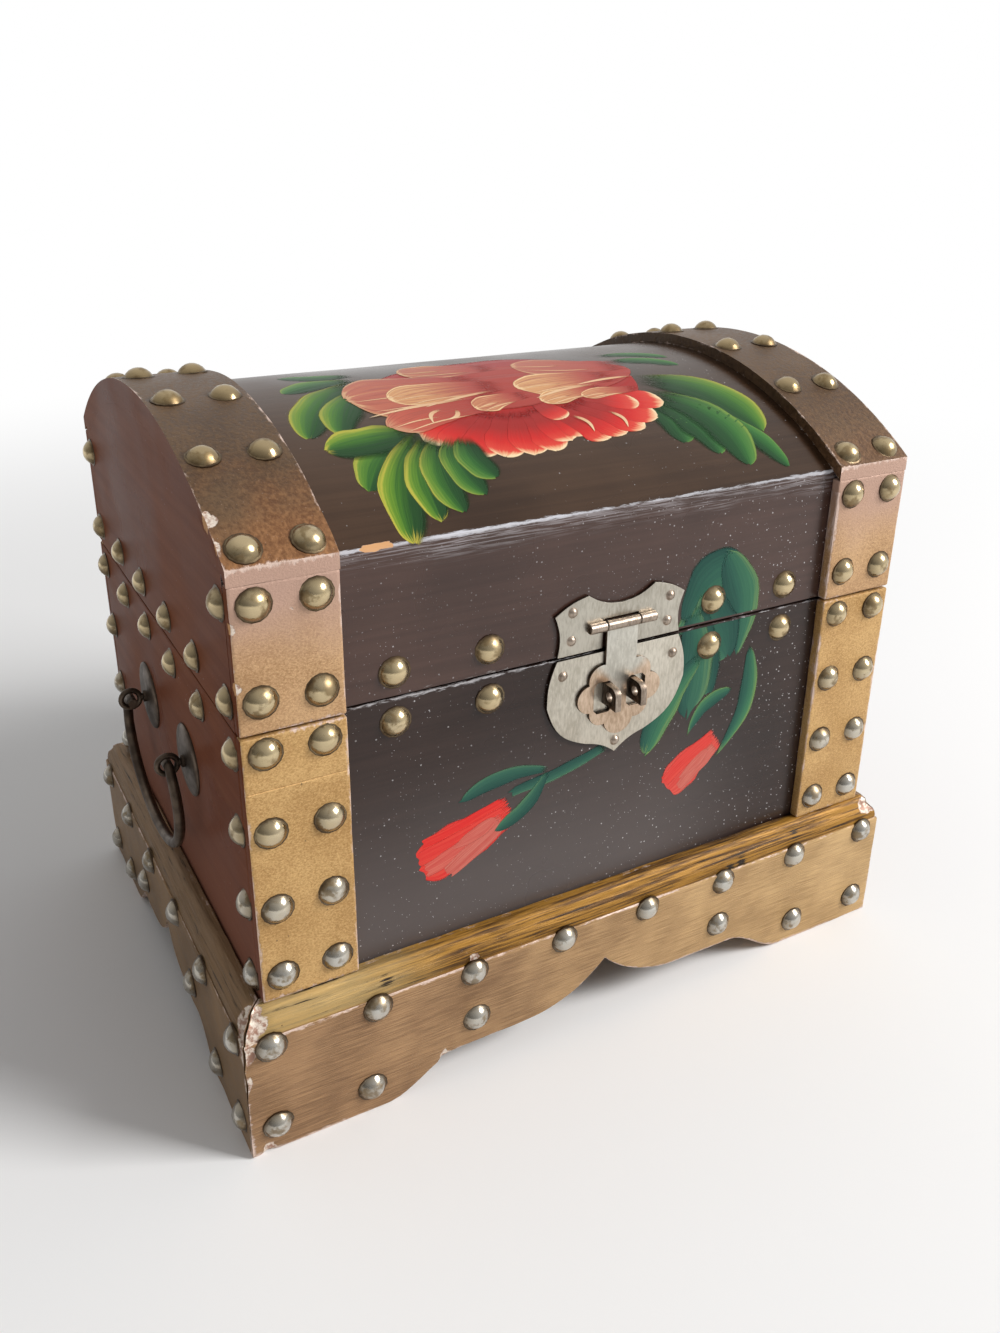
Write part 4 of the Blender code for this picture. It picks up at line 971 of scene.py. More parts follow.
def lobe(share):
    """Width of a leaf's lobe: it swells soon and has a round end."""
    spread = 0.34 + 0.66 * math.sin(math.pi / 2 * min(1.0, share / 0.6))
    return spread * math.sqrt(max(0.015, 1 - max(0.0, (share - 0.60) / 0.40) ** 2))


def blade(share):
    """Width of a long leaf: pointed at both ends."""
    return 0.06 + 0.94 * math.sin(math.pi * share ** 0.8) ** 0.8


def flat_brush(share):
    """Width of a stroke from a flat brush: nearly even."""
    return 0.80 + 0.20 * math.sin(math.pi * share)


def oval(share):
    """Width of a round patch."""
    return math.sqrt(max(0.01, 1 - (2 * share - 1) ** 2))


def canvas():
    """An empty mesh for brush strokes, with what the paint needs to know at each point."""
    shape = bmesh.new()
    for label in stroke_labels:
        shape.verts.layers.float.new(label)
    return shape


def stroke(shape, surface, start, end, width, form, bend=0.0, tone=0.0, rim=1, ragged=0.0, lift=0.0,
           depth=None):
    """Lay one brush stroke on a surface, as a thin closed sheet of paint from start to end in millimetres."""
    along, across, tones, mark = (shape.verts.layers.float[label] for label in stroke_labels)
    start, end = Vector(start) * mm, Vector(end) * mm
    run = end - start
    aside = Vector((-run.y, run.x))
    seed = (start.x * 37 + end.y * 53 + end.x * 71) % 1.0
    before = len(shape.faces)
    steps = max(stroke_steps, int(run.length / stroke_cell))
    lanes = max(stroke_lanes, int(width * mm / stroke_cell))
    made = bmesh.ops.create_grid(shape, x_segments=steps, y_segments=lanes, size=1.0)["verts"]
    spots = []
    for vert in made:
        lane = vert.co.y
        share = 1 - (1 - (vert.co.x + 1) / 2) ** stroke_ease
        reach = share + ragged * share ** 4 * noise.noise((lane * fray_size, seed * seed_spread, 0))
        flow = run + aside * bend * math.pi * math.cos(math.pi * reach)
        out = Vector((-flow.y, flow.x)).normalized()
        spot = start + run * reach + aside * bend * math.sin(math.pi * reach)
        unsteady = 1 + hand_wobble * noise.noise((share * wobble_size, lane, seed * seed_spread))
        spot += out * lane * form(share) * unsteady * width * mm / 2
        vert[along] = share if depth is None else depth
        vert[across], vert[tones], vert[mark] = lane * rim, tone, seed
        vert.co = surface(spot.x, spot.y, lift)
        spots.append(spot)
    shape.faces.ensure_lookup_table()
    bmesh.ops.extrude_face_region(shape, geom=shape.faces[before:])
    for vert, spot in zip(made, spots):
        vert.co = surface(spot.x, spot.y, -paint_sink)


def stroke_group():
    """What a brush stroke knows: how far along, how far across, its tone, and the bristle marks in it."""
    group, takes, gives = new_group("brush_stroke", {}, ("Along", "Across", "Tone", "Bristle"))
    read = {label: shade(group, "Attribute", attribute_name=label).outputs["Fac"] for label in stroke_labels}
    drawn = shade(group, "CombineXYZ", {0: times(group, read["along"], 1.8),
                                        1: times(group, read["across"], 10.0),
                                        2: times(group, read["mark"], 60.0)}).outputs[0]
    bristle = shade(group, "TexNoise", {"Vector": drawn, "Scale": 1.0, "Detail": 4.0, "Roughness": 0.6})
    for label, value in (("Along", read["along"]), ("Across", read["across"]), ("Tone", read["tone"]),
                         ("Bristle", bristle.outputs["Fac"])):
        group.links.new(value, gives[label])
    return group


brush_stroke = stroke_group()


def ramp(tree, value, stops):
    """A colour read from a scale of colours."""
    node = shade(tree, "ValToRGB", {"Fac": value})
    for place, colour in stops[1:-1]:
        node.color_ramp.elements.new(place)
    for element, (place, colour) in zip(node.color_ramp.elements, stops):
        element.position = place
        element.color = (*colour, 1)
    return node.outputs["Color"]


def oil_paint(name, reads, first, second, blur=0.30, rough=0.40, root=0.30, edge=0.22, fade=0.0, deep=0.85,
              outline=None):
    """Oil paint that runs through one scale of colours, or a second one, along or across each stroke.

    It thins out over its root and towards its edges. Strokes of the second scale may be outlined.
    """
    material, tree, sockets = coated(name, rough, gloss=0.14)
    marks = placed(tree, brush_stroke)
    uneven = times(tree, less(tree, marks["Bristle"], 0.5), blur)
    aside = shade(tree, "Math", {0: marks["Across"]}, operation="ABSOLUTE").outputs[0]
    if reads == "Across":
        place = plus(tree, times(tree, marks["Across"], 0.5), 0.5)
    elif reads == "Along":
        shoulder = times(tree, sums(tree, "POWER", aside, 3.0), sums(tree, "POWER", marks["Along"], 5.0))
        shoulder = times(tree, shoulder, ranged(tree, marks["Across"], 0.6, -0.6, 0.05, 0.26))
        place = plus(tree, marks["Along"], shoulder)
    else:
        place = marks[reads]
    place = plus(tree, place, uneven)
    colour = mixed(tree, marks["Tone"], ramp(tree, place, first), ramp(tree, place, second))
    if reads == "Across":
        colour = mixed(tree, ranged(tree, plus(tree, marks["Along"], uneven), 0.0, 0.60, deep, 0.0),
                       colour, (*first[0][1], 1))
        tip = less(tree, plus(tree, marks["Along"], uneven), times(tree, marks["Tone"], 0.3))
        colour = mixed(tree, ranged(tree, tip, 0.92, 1.0, 0.0, 0.8), colour, (*first[-1][1], 1))
    relief = marks["Bristle"]
    if outline:
        cupped = ranged(tree, marks["Tone"], 0.3, 0.7)
        uneven_along = plus(tree, marks["Along"], uneven)
        tan = times(tree, ranged(tree, marks["Tone"], 1.0, 2.0), ranged(tree, uneven_along, 0.25, 0.85))
        colour = mixed(tree, tan, colour, (0.64, 0.335, 0.145, 1))
        hatch = times(tree, ranged(tree, marks["Bristle"], 0.48, 0.38, 0.0, 0.65),
                      ranged(tree, marks["Along"], 0.15, 0.45))
        colour = mixed(tree, times(tree, hatch, cupped), colour, (0.34, 0.070, 0.045, 1))
        line = times(tree, ranged(tree, plus(tree, aside, uneven), 0.86, 0.94),
                     ranged(tree, marks["Along"], 0.30, 0.70))
        hook = ranged(tree, uneven_along, 0.955, 0.975)
        hairs = times(tree, ranged(tree, marks["Bristle"], 0.54, 0.66, 0.0, 0.40),
                      ranged(tree, marks["Along"], 0.25, 0.75))
        line = times(tree, most(tree, most(tree, line, hook), hairs),
                     ranged(tree, marks["Tone"], 0.8, 1.5, 0.0, 0.95))
        colour = mixed(tree, times(tree, line, cupped), colour, outline)
        relief = plus(tree, relief, times(tree, line, 2.0))
    tree.links.new(colour, sockets["Base Color"])
    frayed = times(tree, less(tree, marks["Bristle"], 0.5), min(blur, 0.25))
    cover = times(tree, ranged(tree, plus(tree, aside, frayed), 1.02, 1.02 - edge),
                  ranged(tree, plus(tree, marks["Along"], frayed), 0.0, root))
    if fade:
        cover = times(tree, cover, ranged(tree, plus(tree, marks["Across"], frayed), -1.0, fade - 1.0))
    tree.links.new(cover, sockets["Alpha"])
    tree.links.new(ranged(tree, marks["Bristle"], 0.3, 0.7, rough - 0.05, rough + 0.08), sockets["Roughness"])
    bumped(tree, sockets, relief, 0.22, 0.0004)
    return material


red_petal = ((0.0, (0.31, 0.018, 0.016)), (0.45, (0.33, 0.019, 0.016)), (0.72, (0.56, 0.022, 0.019)),
             (0.89, (0.64, 0.060, 0.040)), (0.94, (0.76, 0.330, 0.180)), (1.0, (0.84, 0.640, 0.390)))
salmon_petal = ((0.0, (0.35, 0.032, 0.028)), (0.30, (0.39, 0.058, 0.042)), (0.65, (0.43, 0.098, 0.064)),
                (0.92, (0.47, 0.130, 0.082)), (1.0, (0.50, 0.185, 0.105)))
petal_paint = oil_paint("petal_paint", "Along", red_petal, salmon_petal, blur=0.20, edge=0.07,
                        outline=(0.84, 0.600, 0.330, 1))
skirt_tips = ((-45, 42), (-42, 49), (-37, 54), (-31, 58), (-23, 59.5), (-14, 60.5), (-6, 60), (0.5, 56.5),
              (7, 55), (13, 58), (20, 56.5), (27.5, 55), (35, 50.5), (42, 43.5))
ruffle_tips = ((4, 46), (33, 43))
cup_petals = (((4, 3), (-29, 0), 19, 0.0, 1.25), ((-6, 19), (-54, 21), 34, 0.0, 1.12),
              ((-10, 33), (-49, 40), 14, 0.05, 0.80), ((-3, 22), (-42, 24), 17, 0.06, 1.75),
              ((1, 30), (-20, 35), 9, 0.05, 1.45), ((47, 14), (9, 4), 19, -0.06, 1.12),
              ((38, 24), (-0.5, 25), 16, 0.05, 1.80), ((29, 31), (2.5, 35.5), 9, 0.05, 1.80),
              ((40, 34), (17, 35), 6.5, 0.04, 1.50))
blossom = canvas()
layer = 3
heart_ends = (bloom_heart + Vector((-42, 0)), bloom_heart + Vector((46, -2)))
stroke(blossom, on_dome, *heart_ends, 62, oval, depth=heart_depth, lift=layer * paint_layer)
for tips, inner, width, tone in ((skirt_tips, 0.40, 12, 0.0), (ruffle_tips, 0.45, 10, 0.06)):
    for tip in tips:
        layer += 1
        root, bend = bloom_heart.lerp(Vector(tip), inner), 0.05 * noise.noise((tip[0], 0, 0))
        stroke(blossom, on_dome, root, tip, width, petal, bend=bend, tone=tone, ragged=0.03,
               lift=layer * paint_layer)
layer += 1
stroke(blossom, on_dome, (-49, 22), (45, 18), 32, oval, tone=0.75, depth=blush_depth,
       lift=layer * paint_layer)
for root, tip, width, bend, tone in cup_petals:
    layer += 1
    stroke(blossom, on_dome, root, tip, width, petal, bend=bend, tone=tone, ragged=0.03,
           lift=layer * paint_layer)
piece("dome_bloom_paint", blossom, petal_paint, "lid", "dark_lacquer")

gold_line = ((0.0, (0.64, 0.33, 0.17)), (1.0, (0.80, 0.58, 0.35)))
vein_paint = oil_paint("vein_paint", "Along", gold_line, gold_line)
line_width = 1.5
raised_lines = (((-18, 28.5), (-52.5, 33.5), 0.03), ((-30, 33.5), (-36, 40.5), 0.22),
                ((-26, 34), (-31, 39.5), -0.22), ((26, 28), (2, 33), 0.05),
                ((43, 25), (20, 27), 0.04), ((-8, 25), (-34, 31), 0.03),
                ((7, 45), (10, 54), -0.2), ((20, 45), (22, 54), -0.2))
veins = canvas()
for root, tip, width, bend, _ in cup_petals:
    root, tip = Vector(root), Vector(tip)
    aside = Vector((root.y - tip.y, tip.x - root.x)).normalized()
    for place in vein_places:
        first = root.lerp(tip, vein_root - abs(place)) + aside * place * width * 0.8
        last = root.lerp(tip, vein_tip - 0.5 * place ** 2) + aside * place * width * 0.9
        stroke(veins, on_dome, first, last, vein_width, blade, bend=bend, lift=(layer + 2) * paint_layer)
for root, tip, bend in raised_lines:
    stroke(veins, on_dome, root, tip, line_width, blade, bend=bend, lift=(layer + 3) * paint_layer)
piece("dome_vein_paint", veins, vein_paint, "lid", "dark_lacquer")

# Leaves on the dome: two fans of green lobes beside the bloom, in oil paint.
# Each lobe is dark at its root and has a yellow rim on its outer side, brightest on the left.
rimmed_leaf = ((0.0, (0.010, 0.036, 0.012)), (0.44, (0.015, 0.060, 0.014)), (0.62, (0.042, 0.132, 0.018)),
               (0.77, (0.105, 0.225, 0.023)), (0.88, (0.205, 0.305, 0.032)), (0.945, (0.40, 0.390, 0.055)),
               (1.0, (0.52, 0.430, 0.065)))
plain_leaf = ((0.0, (0.008, 0.030, 0.011)), (0.42, (0.013, 0.062, 0.018)), (0.72, (0.030, 0.128, 0.032)),
              (0.92, (0.055, 0.180, 0.042)), (1.0, (0.120, 0.250, 0.055)))
leaf_paint = oil_paint("leaf_paint", "Across", rimmed_leaf, plain_leaf, blur=0.32, edge=0.08, fade=0.50)
left_lobes = (((-42, -3), (-64, -10), 10, -0.08, 0.9), ((-44, 4), (-69, 10), 11, 0.10, 0.7),
              ((-44, 5), (-73, 41), 15, 0.08, 0.3), ((-46, 14), (-63.5, 40.5), 13, 0.08, 0.4),
              ((-46, 45), (-65.5, 65.5), 14, 0.05, 0.3), ((-42, 44), (-70.5, 47.5), 16, 0.0, 0.1),
              ((-40, 43), (-60.5, 84.5), 14, 0.09, 0.0), ((-40, 46), (-50.5, 79), 12, 0.08, 0.1),
              ((-37, 47), (-43.5, 77), 12, 0.10, 0.35), ((-33, 48), (-35, 72.5), 12, 0.12, 0.55),
              ((-30, 48), (-29, 67), 11, 0.12, 0.7))
right_lobes = (((42, 2), (66, 11), 7, -0.12, 0.95), ((42, 10), (64.5, 19.5), 8, -0.12, 0.95),
               ((40, 27), (66.5, 63.5), 21, -0.18, 0.35), ((34, 42), (37, 64), 12, -0.10, 0.95),
               ((36, 41), (45.5, 70.5), 14, -0.12, 0.95), ((50, 46), (66.5, 79.5), 10, -0.06, 0.95),
               ((38, 36), (53, 76.5), 17, -0.16, 0.85))
foliage = canvas()
for lobes, rim in ((left_lobes, 1), (right_lobes, -1)):
    for step, (root, tip, width, bend, tone) in enumerate(lobes):
        stroke(foliage, on_dome, root, tip, width, lobe, bend=bend, tone=tone, rim=rim, ragged=0.04,
               lift=(2 + step) * paint_layer)
piece("dome_leaf_paint", foliage, leaf_paint, "lid", "dark_lacquer")

# Spray on the front: green leaves beside the hasp, a thin stem and two red buds, in oil paint.
# The leaves run over the seam and part where the lid opens.
fresh_leaf = ((0.0, (0.012, 0.055, 0.042)), (0.40, (0.022, 0.098, 0.064)), (0.80, (0.048, 0.168, 0.078)),
              (1.0, (0.170, 0.260, 0.075)))
dull_leaf = ((0.0, (0.012, 0.050, 0.042)), (0.45, (0.022, 0.082, 0.060)), (0.80, (0.034, 0.110, 0.076)),
             (1.0, (0.060, 0.150, 0.090)))
red_bud = ((0.0, (0.56, 0.014, 0.014)), (0.5, (0.64, 0.028, 0.024)), (1.0, (0.66, 0.080, 0.045)))
pink_bud = ((0.0, (0.43, 0.044, 0.036)), (0.5, (0.51, 0.115, 0.088)), (1.0, (0.60, 0.250, 0.185)))
spray_paint = oil_paint("spray_paint", "Across", fresh_leaf, dull_leaf, blur=0.62, root=0.07, edge=0.16,
                        deep=0.20)
bud_paint = oil_paint("bud_paint", "Bristle", red_bud, pink_bud, blur=0.45, root=0.04, edge=0.12)


def on_front(across, height, lift):
    """Point over the front boards."""
    place = Vector((across, -half_depth, height))
    return place - Vector((0, panel_wave * noise.noise(place / wave_size) + lift, 0))


def parted(shape, level, side):
    """The part of some strokes above or below a level, closed where it is cut."""
    kept = shape.copy()
    cut_across(kept, (0, 0, level), (0, 0, side), clear_inner=True)
    bmesh.ops.holes_fill(kept, edges=[line for line in kept.edges if line.is_boundary], sides=0)
    return kept


spray_leaves = (((27, 128), (42, 154), 20, lobe, -0.12, 0.3, 1),
                ((30, 132), (50, 148), 19, lobe, 0.20, 0.5, -1),
                ((42, 154), (50, 118), 14, blade, 0.12, 0.4, 1),
                ((36, 142), (46, 118), 18, lobe, -0.05, 0.6, -1),
                ((34, 138), (40, 106), 15, lobe, -0.08, 0.4, -1),
                ((31, 136), (32, 101), 15, lobe, 0.05, 0.6, 1),
                ((35, 120), (16.5, 90.5), 11, lobe, -0.08, 0.1, 1),
                ((49.5, 106), (33, 94), 5.5, blade, -0.16, 0.1, -1),
                ((55, 120), (46, 83), 7, blade, 0.14, 0.0, 1),
                ((2, 98), (-31, 91), 4, flat_brush, 0.03, 0.9, 1),
                ((-19, 95.5), (-48, 93.0), 5.5, lobe, -0.10, 0.9, -1),
                ((-19, 94.5), (-36, 79.5), 5.5, lobe, 0.10, 0.8, -1))
spray = canvas()
for step, (root, tip, width, form, bend, tone, rim) in enumerate(spray_leaves):
    stroke(spray, on_front, root, tip, width, form, bend=bend, tone=tone, rim=rim, ragged=0.08,
           lift=(3 + step) * paint_layer)
piece("lid_spray_paint", parted(spray, seam_high + board_soft, 1), spray_paint, "lid", "dark_lacquer")
piece("base_spray_paint", parted(spray, seam_low - board_soft, -1), spray_paint, "base", "dark_lacquer")
spray.free()


def bud(share):
    """Width of a closed bud: narrow at its stalk, blunt at its end."""
    return (0.60 + 0.40 * min(1.0, share / 0.6)) * math.sqrt(1 - 0.6 * max(0.0, (share - 0.75) / 0.25) ** 2)


bud_strokes = (((-31, 85.5), (-60.5, 75), 17, bud, 0.02, 0.1),
               ((-33, 88), (-60, 81.5), 6, flat_brush, 0.03, 0.0),
               ((-33, 85), (-61, 77.5), 6, flat_brush, 0.02, 0.1),
               ((-34, 83), (-59, 73), 6, flat_brush, 0.02, 0.7),
               ((-34, 81.5), (-52, 70), 6, flat_brush, 0.0, 1.0),
               ((-36, 84), (-50, 78), 5, blade, 0.03, 0.9),
               ((45, 89.5), (26.5, 75.5), 13.5, bud, -0.02, 0.4),
               ((43, 90.5), (25, 78.5), 5.5, flat_brush, -0.02, 0.2),
               ((44.5, 86), (31, 74.5), 5, flat_brush, 0.0, 1.0),
               ((42, 86), (31, 78), 4, blade, 0.02, 1.0))
buds = canvas()
for step, (root, tip, width, form, bend, tone) in enumerate(bud_strokes):
    stroke(buds, on_front, root, tip, width, form, bend=bend, tone=tone, ragged=0.06,
           lift=(4 + step) * paint_layer)
piece("base_bud_paint", buds, bud_paint, "base", "dark_lacquer")

# Shield hasp: a pressed nickel plate on the lid with a rolled barrel, a lower plate with two pierced lugs,
# and a hinged leaf whose lobed flange drops over the lugs. Small domed nails hold the plates.
seam_height = (seam_low + seam_high) / 2
hasp_offset, hasp_sheet, hasp_gap, hasp_soft = 0.0040, 0.0008, 0.0010, 0.00022
knuckle_radius, knuckle_soft, axis_rise, barrel_length, strap_width = 0.0016, 0.12, 0.0079, 0.0230, 0.0115
hasp_pin_radius, hasp_pin_short, hasp_pin_soft = 0.0008, 0.0008, 0.0001
horn, horn_dip, shield_tip, shield_seam = (0.0115, 0.0180), 0.0040, (0.0225, 0.0134), 0.0214
shield_widest, shield_waist, shield_point = (0.0244, -0.0150), (0.0105, -0.0300), -0.0352
flange_top, flange_foot = -0.0043, -0.0283
flange_notches = ((0.0051, -0.0240), (0.0105, -0.0193), (0.0108, -0.0102))
lobe_rises = (0.0012, 0.0018, 0.0041, 0.0021)
window_near, window_width, window_height, window_level, window_cut = 0.0026, 0.0064, 0.0100, -0.0150, 0.0012
lug_sheet, lug_height, lug_reach, lug_hole, lug_round = 0.0020, 0.0069, 0.0083, 0.0015, 0.0026
lug_play, lug_headroom, lug_soft = 0.0009, 0.0004, 0.00015
cut_limit, sheet_margin = 0.8, 0.0001
upper_nail_spots = ((-0.0165, 0.0136), (-0.0170, 0.0052), (0.0172, 0.0128), (0.0166, 0.0046))
lower_nail_spots = ((-0.0192, -0.0056), (0.0196, -0.0064), (0.0, -0.0312))
small_nail = 0.36
knuckle_steps, pin_play = 18, 0.00004
hasp_frame = on_side(front, half_depth, hasp_offset, seam_height)
axis_out = fit + knuckle_radius


def bowed(start, end, bow, steps=10):
    """Points of a curve from start up to end, bowed out to the left of its chord; end is left out."""
    start, end = Vector(start), Vector(end)
    normal = Vector((start.y - end.y, end.x - start.x)).normalized()
    return [start.lerp(end, step / steps) + normal * bow * math.sin(math.pi * step / steps)
            for step in range(steps)]


def round_lobe(start, end, rise, steps=14):
    """Points of a round lobe from start up to end, to the right of its chord; end is left out."""
    start, half = Vector(start), (Vector(end) - Vector(start)) / 2
    radius = (half.length_squared + rise ** 2) / (2 * rise)
    centre = start + half + Vector((half.y, -half.x)).normalized() * (rise - radius)
    sweep = 2 * math.atan2(half.length, radius - rise)
    return [centre + Matrix.Rotation(sweep * step / steps, 2) @ (start - centre) for step in range(steps)]


def mirrored(half):
    """A closed outline from its right half, which runs between two points on the middle line."""
    half = [tuple(point) for point in half]
    return half + [(-x, y) for x, y in reversed(half) if abs(x) > fit]


def cut_plate(shape, loops, low, thick, soft=hasp_soft):
    """A sheet cut to an outline with holes, with the rim of its front softened."""
    before = len(shape.edges)
    for loop in loops:
        points = [shape.verts.new((x, y, low)) for x, y in loop]
        for pair in zip(points, points[1:] + points[:1]):
            shape.edges.new(pair)
    shape.edges.ensure_lookup_table()
    flat = bmesh.ops.triangle_fill(shape, edges=shape.edges[before:], use_beauty=True, use_dissolve=False)
    faces = [item for item in flat["geom"] if isinstance(item, bmesh.types.BMFace)]
    raised = bmesh.ops.extrude_face_region(shape, geom=faces)["geom"]
    front_verts = [item for item in raised if isinstance(item, bmesh.types.BMVert)]
    front_faces = [item for item in raised if isinstance(item, bmesh.types.BMFace)]
    bmesh.ops.translate(shape, verts=front_verts, vec=(0, 0, thick))
    rim = [line for line in shape.edges if sum(face in front_faces for face in line.link_faces) == 1]
    bmesh.ops.bevel(shape, geom=rim, offset=soft, offset_type="OFFSET", segments=2, profile=0.5,
                    affect="EDGES", material=-1)


def rolled(shape, first, last, play=0.0):
    """A rolled knuckle of the barrel between two places along it, with some play round the pin."""
    edge = knuckle_radius * knuckle_soft
    bore = hasp_pin_radius + play
    section = ((first, bore), (first, knuckle_radius - edge), (first + edge, knuckle_radius),
               (last - edge, knuckle_radius), (last, knuckle_radius - edge), (last, bore))
    points = [shape.verts.new((x, axis_rise, axis_out + radius)) for x, radius in section]
    lines = [shape.edges.new(pair) for pair in zip(points, points[1:] + points[:1])]
    bmesh.ops.spin(shape, geom=points + lines, axis=(1, 0, 0), cent=(0, axis_rise, axis_out), angle=math.tau,
                   steps=knuckle_steps, use_merge=True)


def plated(name, dark, light, warm=None):
    """Dulled and stained plate; on the leaf it is worn through to warm copper below the strap."""
    material, tree, sockets = coated(name, 0.36, metallic=1.0)
    grain = placed(tree, brush_grain, Stretch=(1500.0, 1500.0, 420.0), Blotch=70.0)
    tone = plus(tree, grain["Grain"], times(tree, grain["Patch"], 0.7))
    stained = ranged(tree, tone, 0.60, 1.10)
    colour = mixed(tree, stained, dark, light)
    if warm:
        place = axes(tree)
        aside = shade(tree, "Math", {0: less(tree, place[0], hasp_offset)}, operation="ABSOLUTE")
        worn = less(tree, place[2], times(tree, aside.outputs[0], 1.2))
        worn = plus(tree, worn, times(tree, grain["Patch"], 0.010))
        colour = mixed(tree, ranged(tree, worn, 0.1235, 0.1180), colour, mixed(tree, stained, *warm))
    spots = placed(tree, fine_specks, Scale=900.0, Share=0.30)["Mask"]
    colour = mixed(tree, times(tree, spots, 0.55), colour, (0.16, 0.13, 0.10, 1))
    tree.links.new(colour, sockets["Base Color"])
    tree.links.new(ranged(tree, tone, 0.60, 1.10, 0.46, 0.30), sockets["Roughness"])
    bumped(tree, sockets, tone, 0.14, 0.0003)
    return material


def hasp_piece(name, shape, metal, body, slot, node, sheet_low):
    """Set a finished shape of the hasp in its place; its cut edges and lug sides take tarnish and painted
    shade, its barrel copper.
    """
    bmesh.ops.remove_doubles(shape, verts=shape.verts, dist=1e-6)
    sheet_high = sheet_low + hasp_sheet
    proud = sheet_high + sheet_margin
    # Painted shade: the sheet's cut edges, and the sides of what stands proud of it, the lugs among them, get
    # the dark finish.
    faced(shape, 1, lambda normal, middle: sheet_low < middle.z < sheet_high and abs(normal.z) < cut_limit)
    faced(shape, 2, lambda normal, middle: middle.z > proud)
    faced(shape, 1, lambda normal, middle: middle.z > proud and abs(normal.x) > cut_limit)
    bmesh.ops.transform(shape, matrix=hasp_frame, verts=shape.verts)
    piece(name, shape, (metal, tarnish_and_painted_shade, barrel_copper), body, slot, node)


nickel_dark, nickel_light = (0.350, 0.320, 0.264, 1), (0.500, 0.468, 0.400, 1)
copper_dark, copper_light = (0.400, 0.282, 0.190, 1), (0.640, 0.490, 0.365, 1)
nickel_plate = plated("nickel_plate", nickel_dark, nickel_light)
foot_nickel_plate = plated("foot_nickel_plate", (0.430, 0.392, 0.322, 1), (0.610, 0.565, 0.480, 1))
coppered_plate = plated("worn_nickel_plate", (0.430, 0.405, 0.350, 1), (0.600, 0.575, 0.505, 1),
                        (copper_dark, copper_light))
barrel_copper = plated("barrel_copper", (0.215, 0.165, 0.125, 1), (0.430, 0.355, 0.290, 1))
tarnish_and_painted_shade = plated("tarnish_and_painted_shade", (0.035, 0.024, 0.018, 1), (0.110, 0.078, 0.056, 1))
notch, notch_top = strap_width / 2 + fit, axis_rise + knuckle_radius + fit
knuckle_gap = strap_width / 2 + fit / 2
upper_half = [(0, notch_top), (notch, notch_top), (notch, hasp_gap / 2)]
upper_half += bowed((shield_seam, hasp_gap / 2), shield_tip, 0.0012) + bowed(shield_tip, horn, -0.0007)
upper_half += bowed(horn, (0, horn[1] - horn_dip), horn_dip / 4) + [(0, horn[1] - horn_dip)]
upper_plate = bmesh.new()
cut_plate(upper_plate, [mirrored(upper_half)], fit, hasp_sheet)
for side in (-1, 1):
    rolled(upper_plate, *sorted((side * knuckle_gap, side * barrel_length / 2)))
hasp_piece("hasp_shield_top", upper_plate, nickel_plate, "lid", "nickel", "hasp_upper_plate", fit)

lower_half = bowed((0, shield_point), shield_waist, 0.0008) + bowed(shield_waist, shield_widest, -0.0030)
lower_half += bowed(shield_widest, (shield_seam, -hasp_gap / 2), -0.0010)
lower_half += [(shield_seam, -hasp_gap / 2), (0, -hasp_gap / 2)]
lower_plate = bmesh.new()
cut_plate(lower_plate, [mirrored(lower_half)], fit, hasp_sheet)
lug_half, lug_foot = lug_height / 2, fit + hasp_sheet / 2
lug_outline = [(lug_foot, -lug_half), (lug_reach, -lug_half)]
lug_outline += [(lug_reach - lug_round * (1 - math.cos(turn)), lug_half - lug_round * (1 - math.sin(turn)))
                for turn in spaced(0, math.pi / 2, 7)] + [(lug_foot, lug_half)]
lug_eye = [(lug_reach - lug_half + lug_hole * math.cos(turn), lug_hole * math.sin(turn))
           for turn in spaced(0, math.tau * 15 / 16, 16)]
lug_middle = window_near + lug_play + lug_sheet / 2
lug_level = window_level + window_height / 2 - lug_headroom - lug_half
for side in (-1, 1):
    lug = bmesh.new()
    cut_plate(lug, [lug_outline, lug_eye], 0, lug_sheet, soft=lug_soft)
    upright = Matrix.Translation((side * lug_middle + lug_sheet / 2, lug_level, 0))
    bmesh.ops.transform(lug, matrix=upright @ Matrix.Rotation(-math.pi / 2, 4, "Y"), verts=lug.verts)
    lug_mesh = bpy.data.meshes.new("hasp_lug")
    lug.to_mesh(lug_mesh)
    lug.free()
    lower_plate.from_mesh(lug_mesh)
hasp_piece("hasp_shield_foot", lower_plate, foot_nickel_plate, "base", "nickel", "hasp_lower_plate", fit)

strap = strap_width / 2 - fit
lobe_ends = [(0, flange_foot), *flange_notches, (strap, flange_top)]
leaf_half = []
for start, end, rise in zip(lobe_ends, lobe_ends[1:], lobe_rises):
    leaf_half += round_lobe(start, end, rise)
strap_root = axis_rise - (hasp_pin_radius + knuckle_radius) / 2
leaf_half += [(strap, flange_top), (strap, strap_root), (0, strap_root)]
window_half, cut = window_width / 2, window_cut
window = [(-window_half, cut), (-window_half, window_height - cut), (cut - window_half, window_height),
          (window_half - cut, window_height), (window_half, window_height - cut), (window_half, cut),
          (window_half - cut, 0), (cut - window_half, 0)]
windows = [[(side * (window_near + window_half) + x, window_level - window_height / 2 + y) for x, y in window]
           for side in (-1, 1)]
leaf = bmesh.new()
cut_plate(leaf, [mirrored(leaf_half)] + windows, axis_out - hasp_sheet / 2, hasp_sheet)
rolled(leaf, fit - knuckle_gap, knuckle_gap - fit, pin_play)
hasp_piece("hasp_swinging_leaf", leaf, coppered_plate, "hasp", "coppered_nickel", "hasp_leaf",
           axis_out - hasp_sheet / 2)
rod = bmesh.new()
barrel_frame = Matrix.Translation((0, axis_rise, axis_out)) @ Matrix.Rotation(math.pi / 2, 4, "Y")
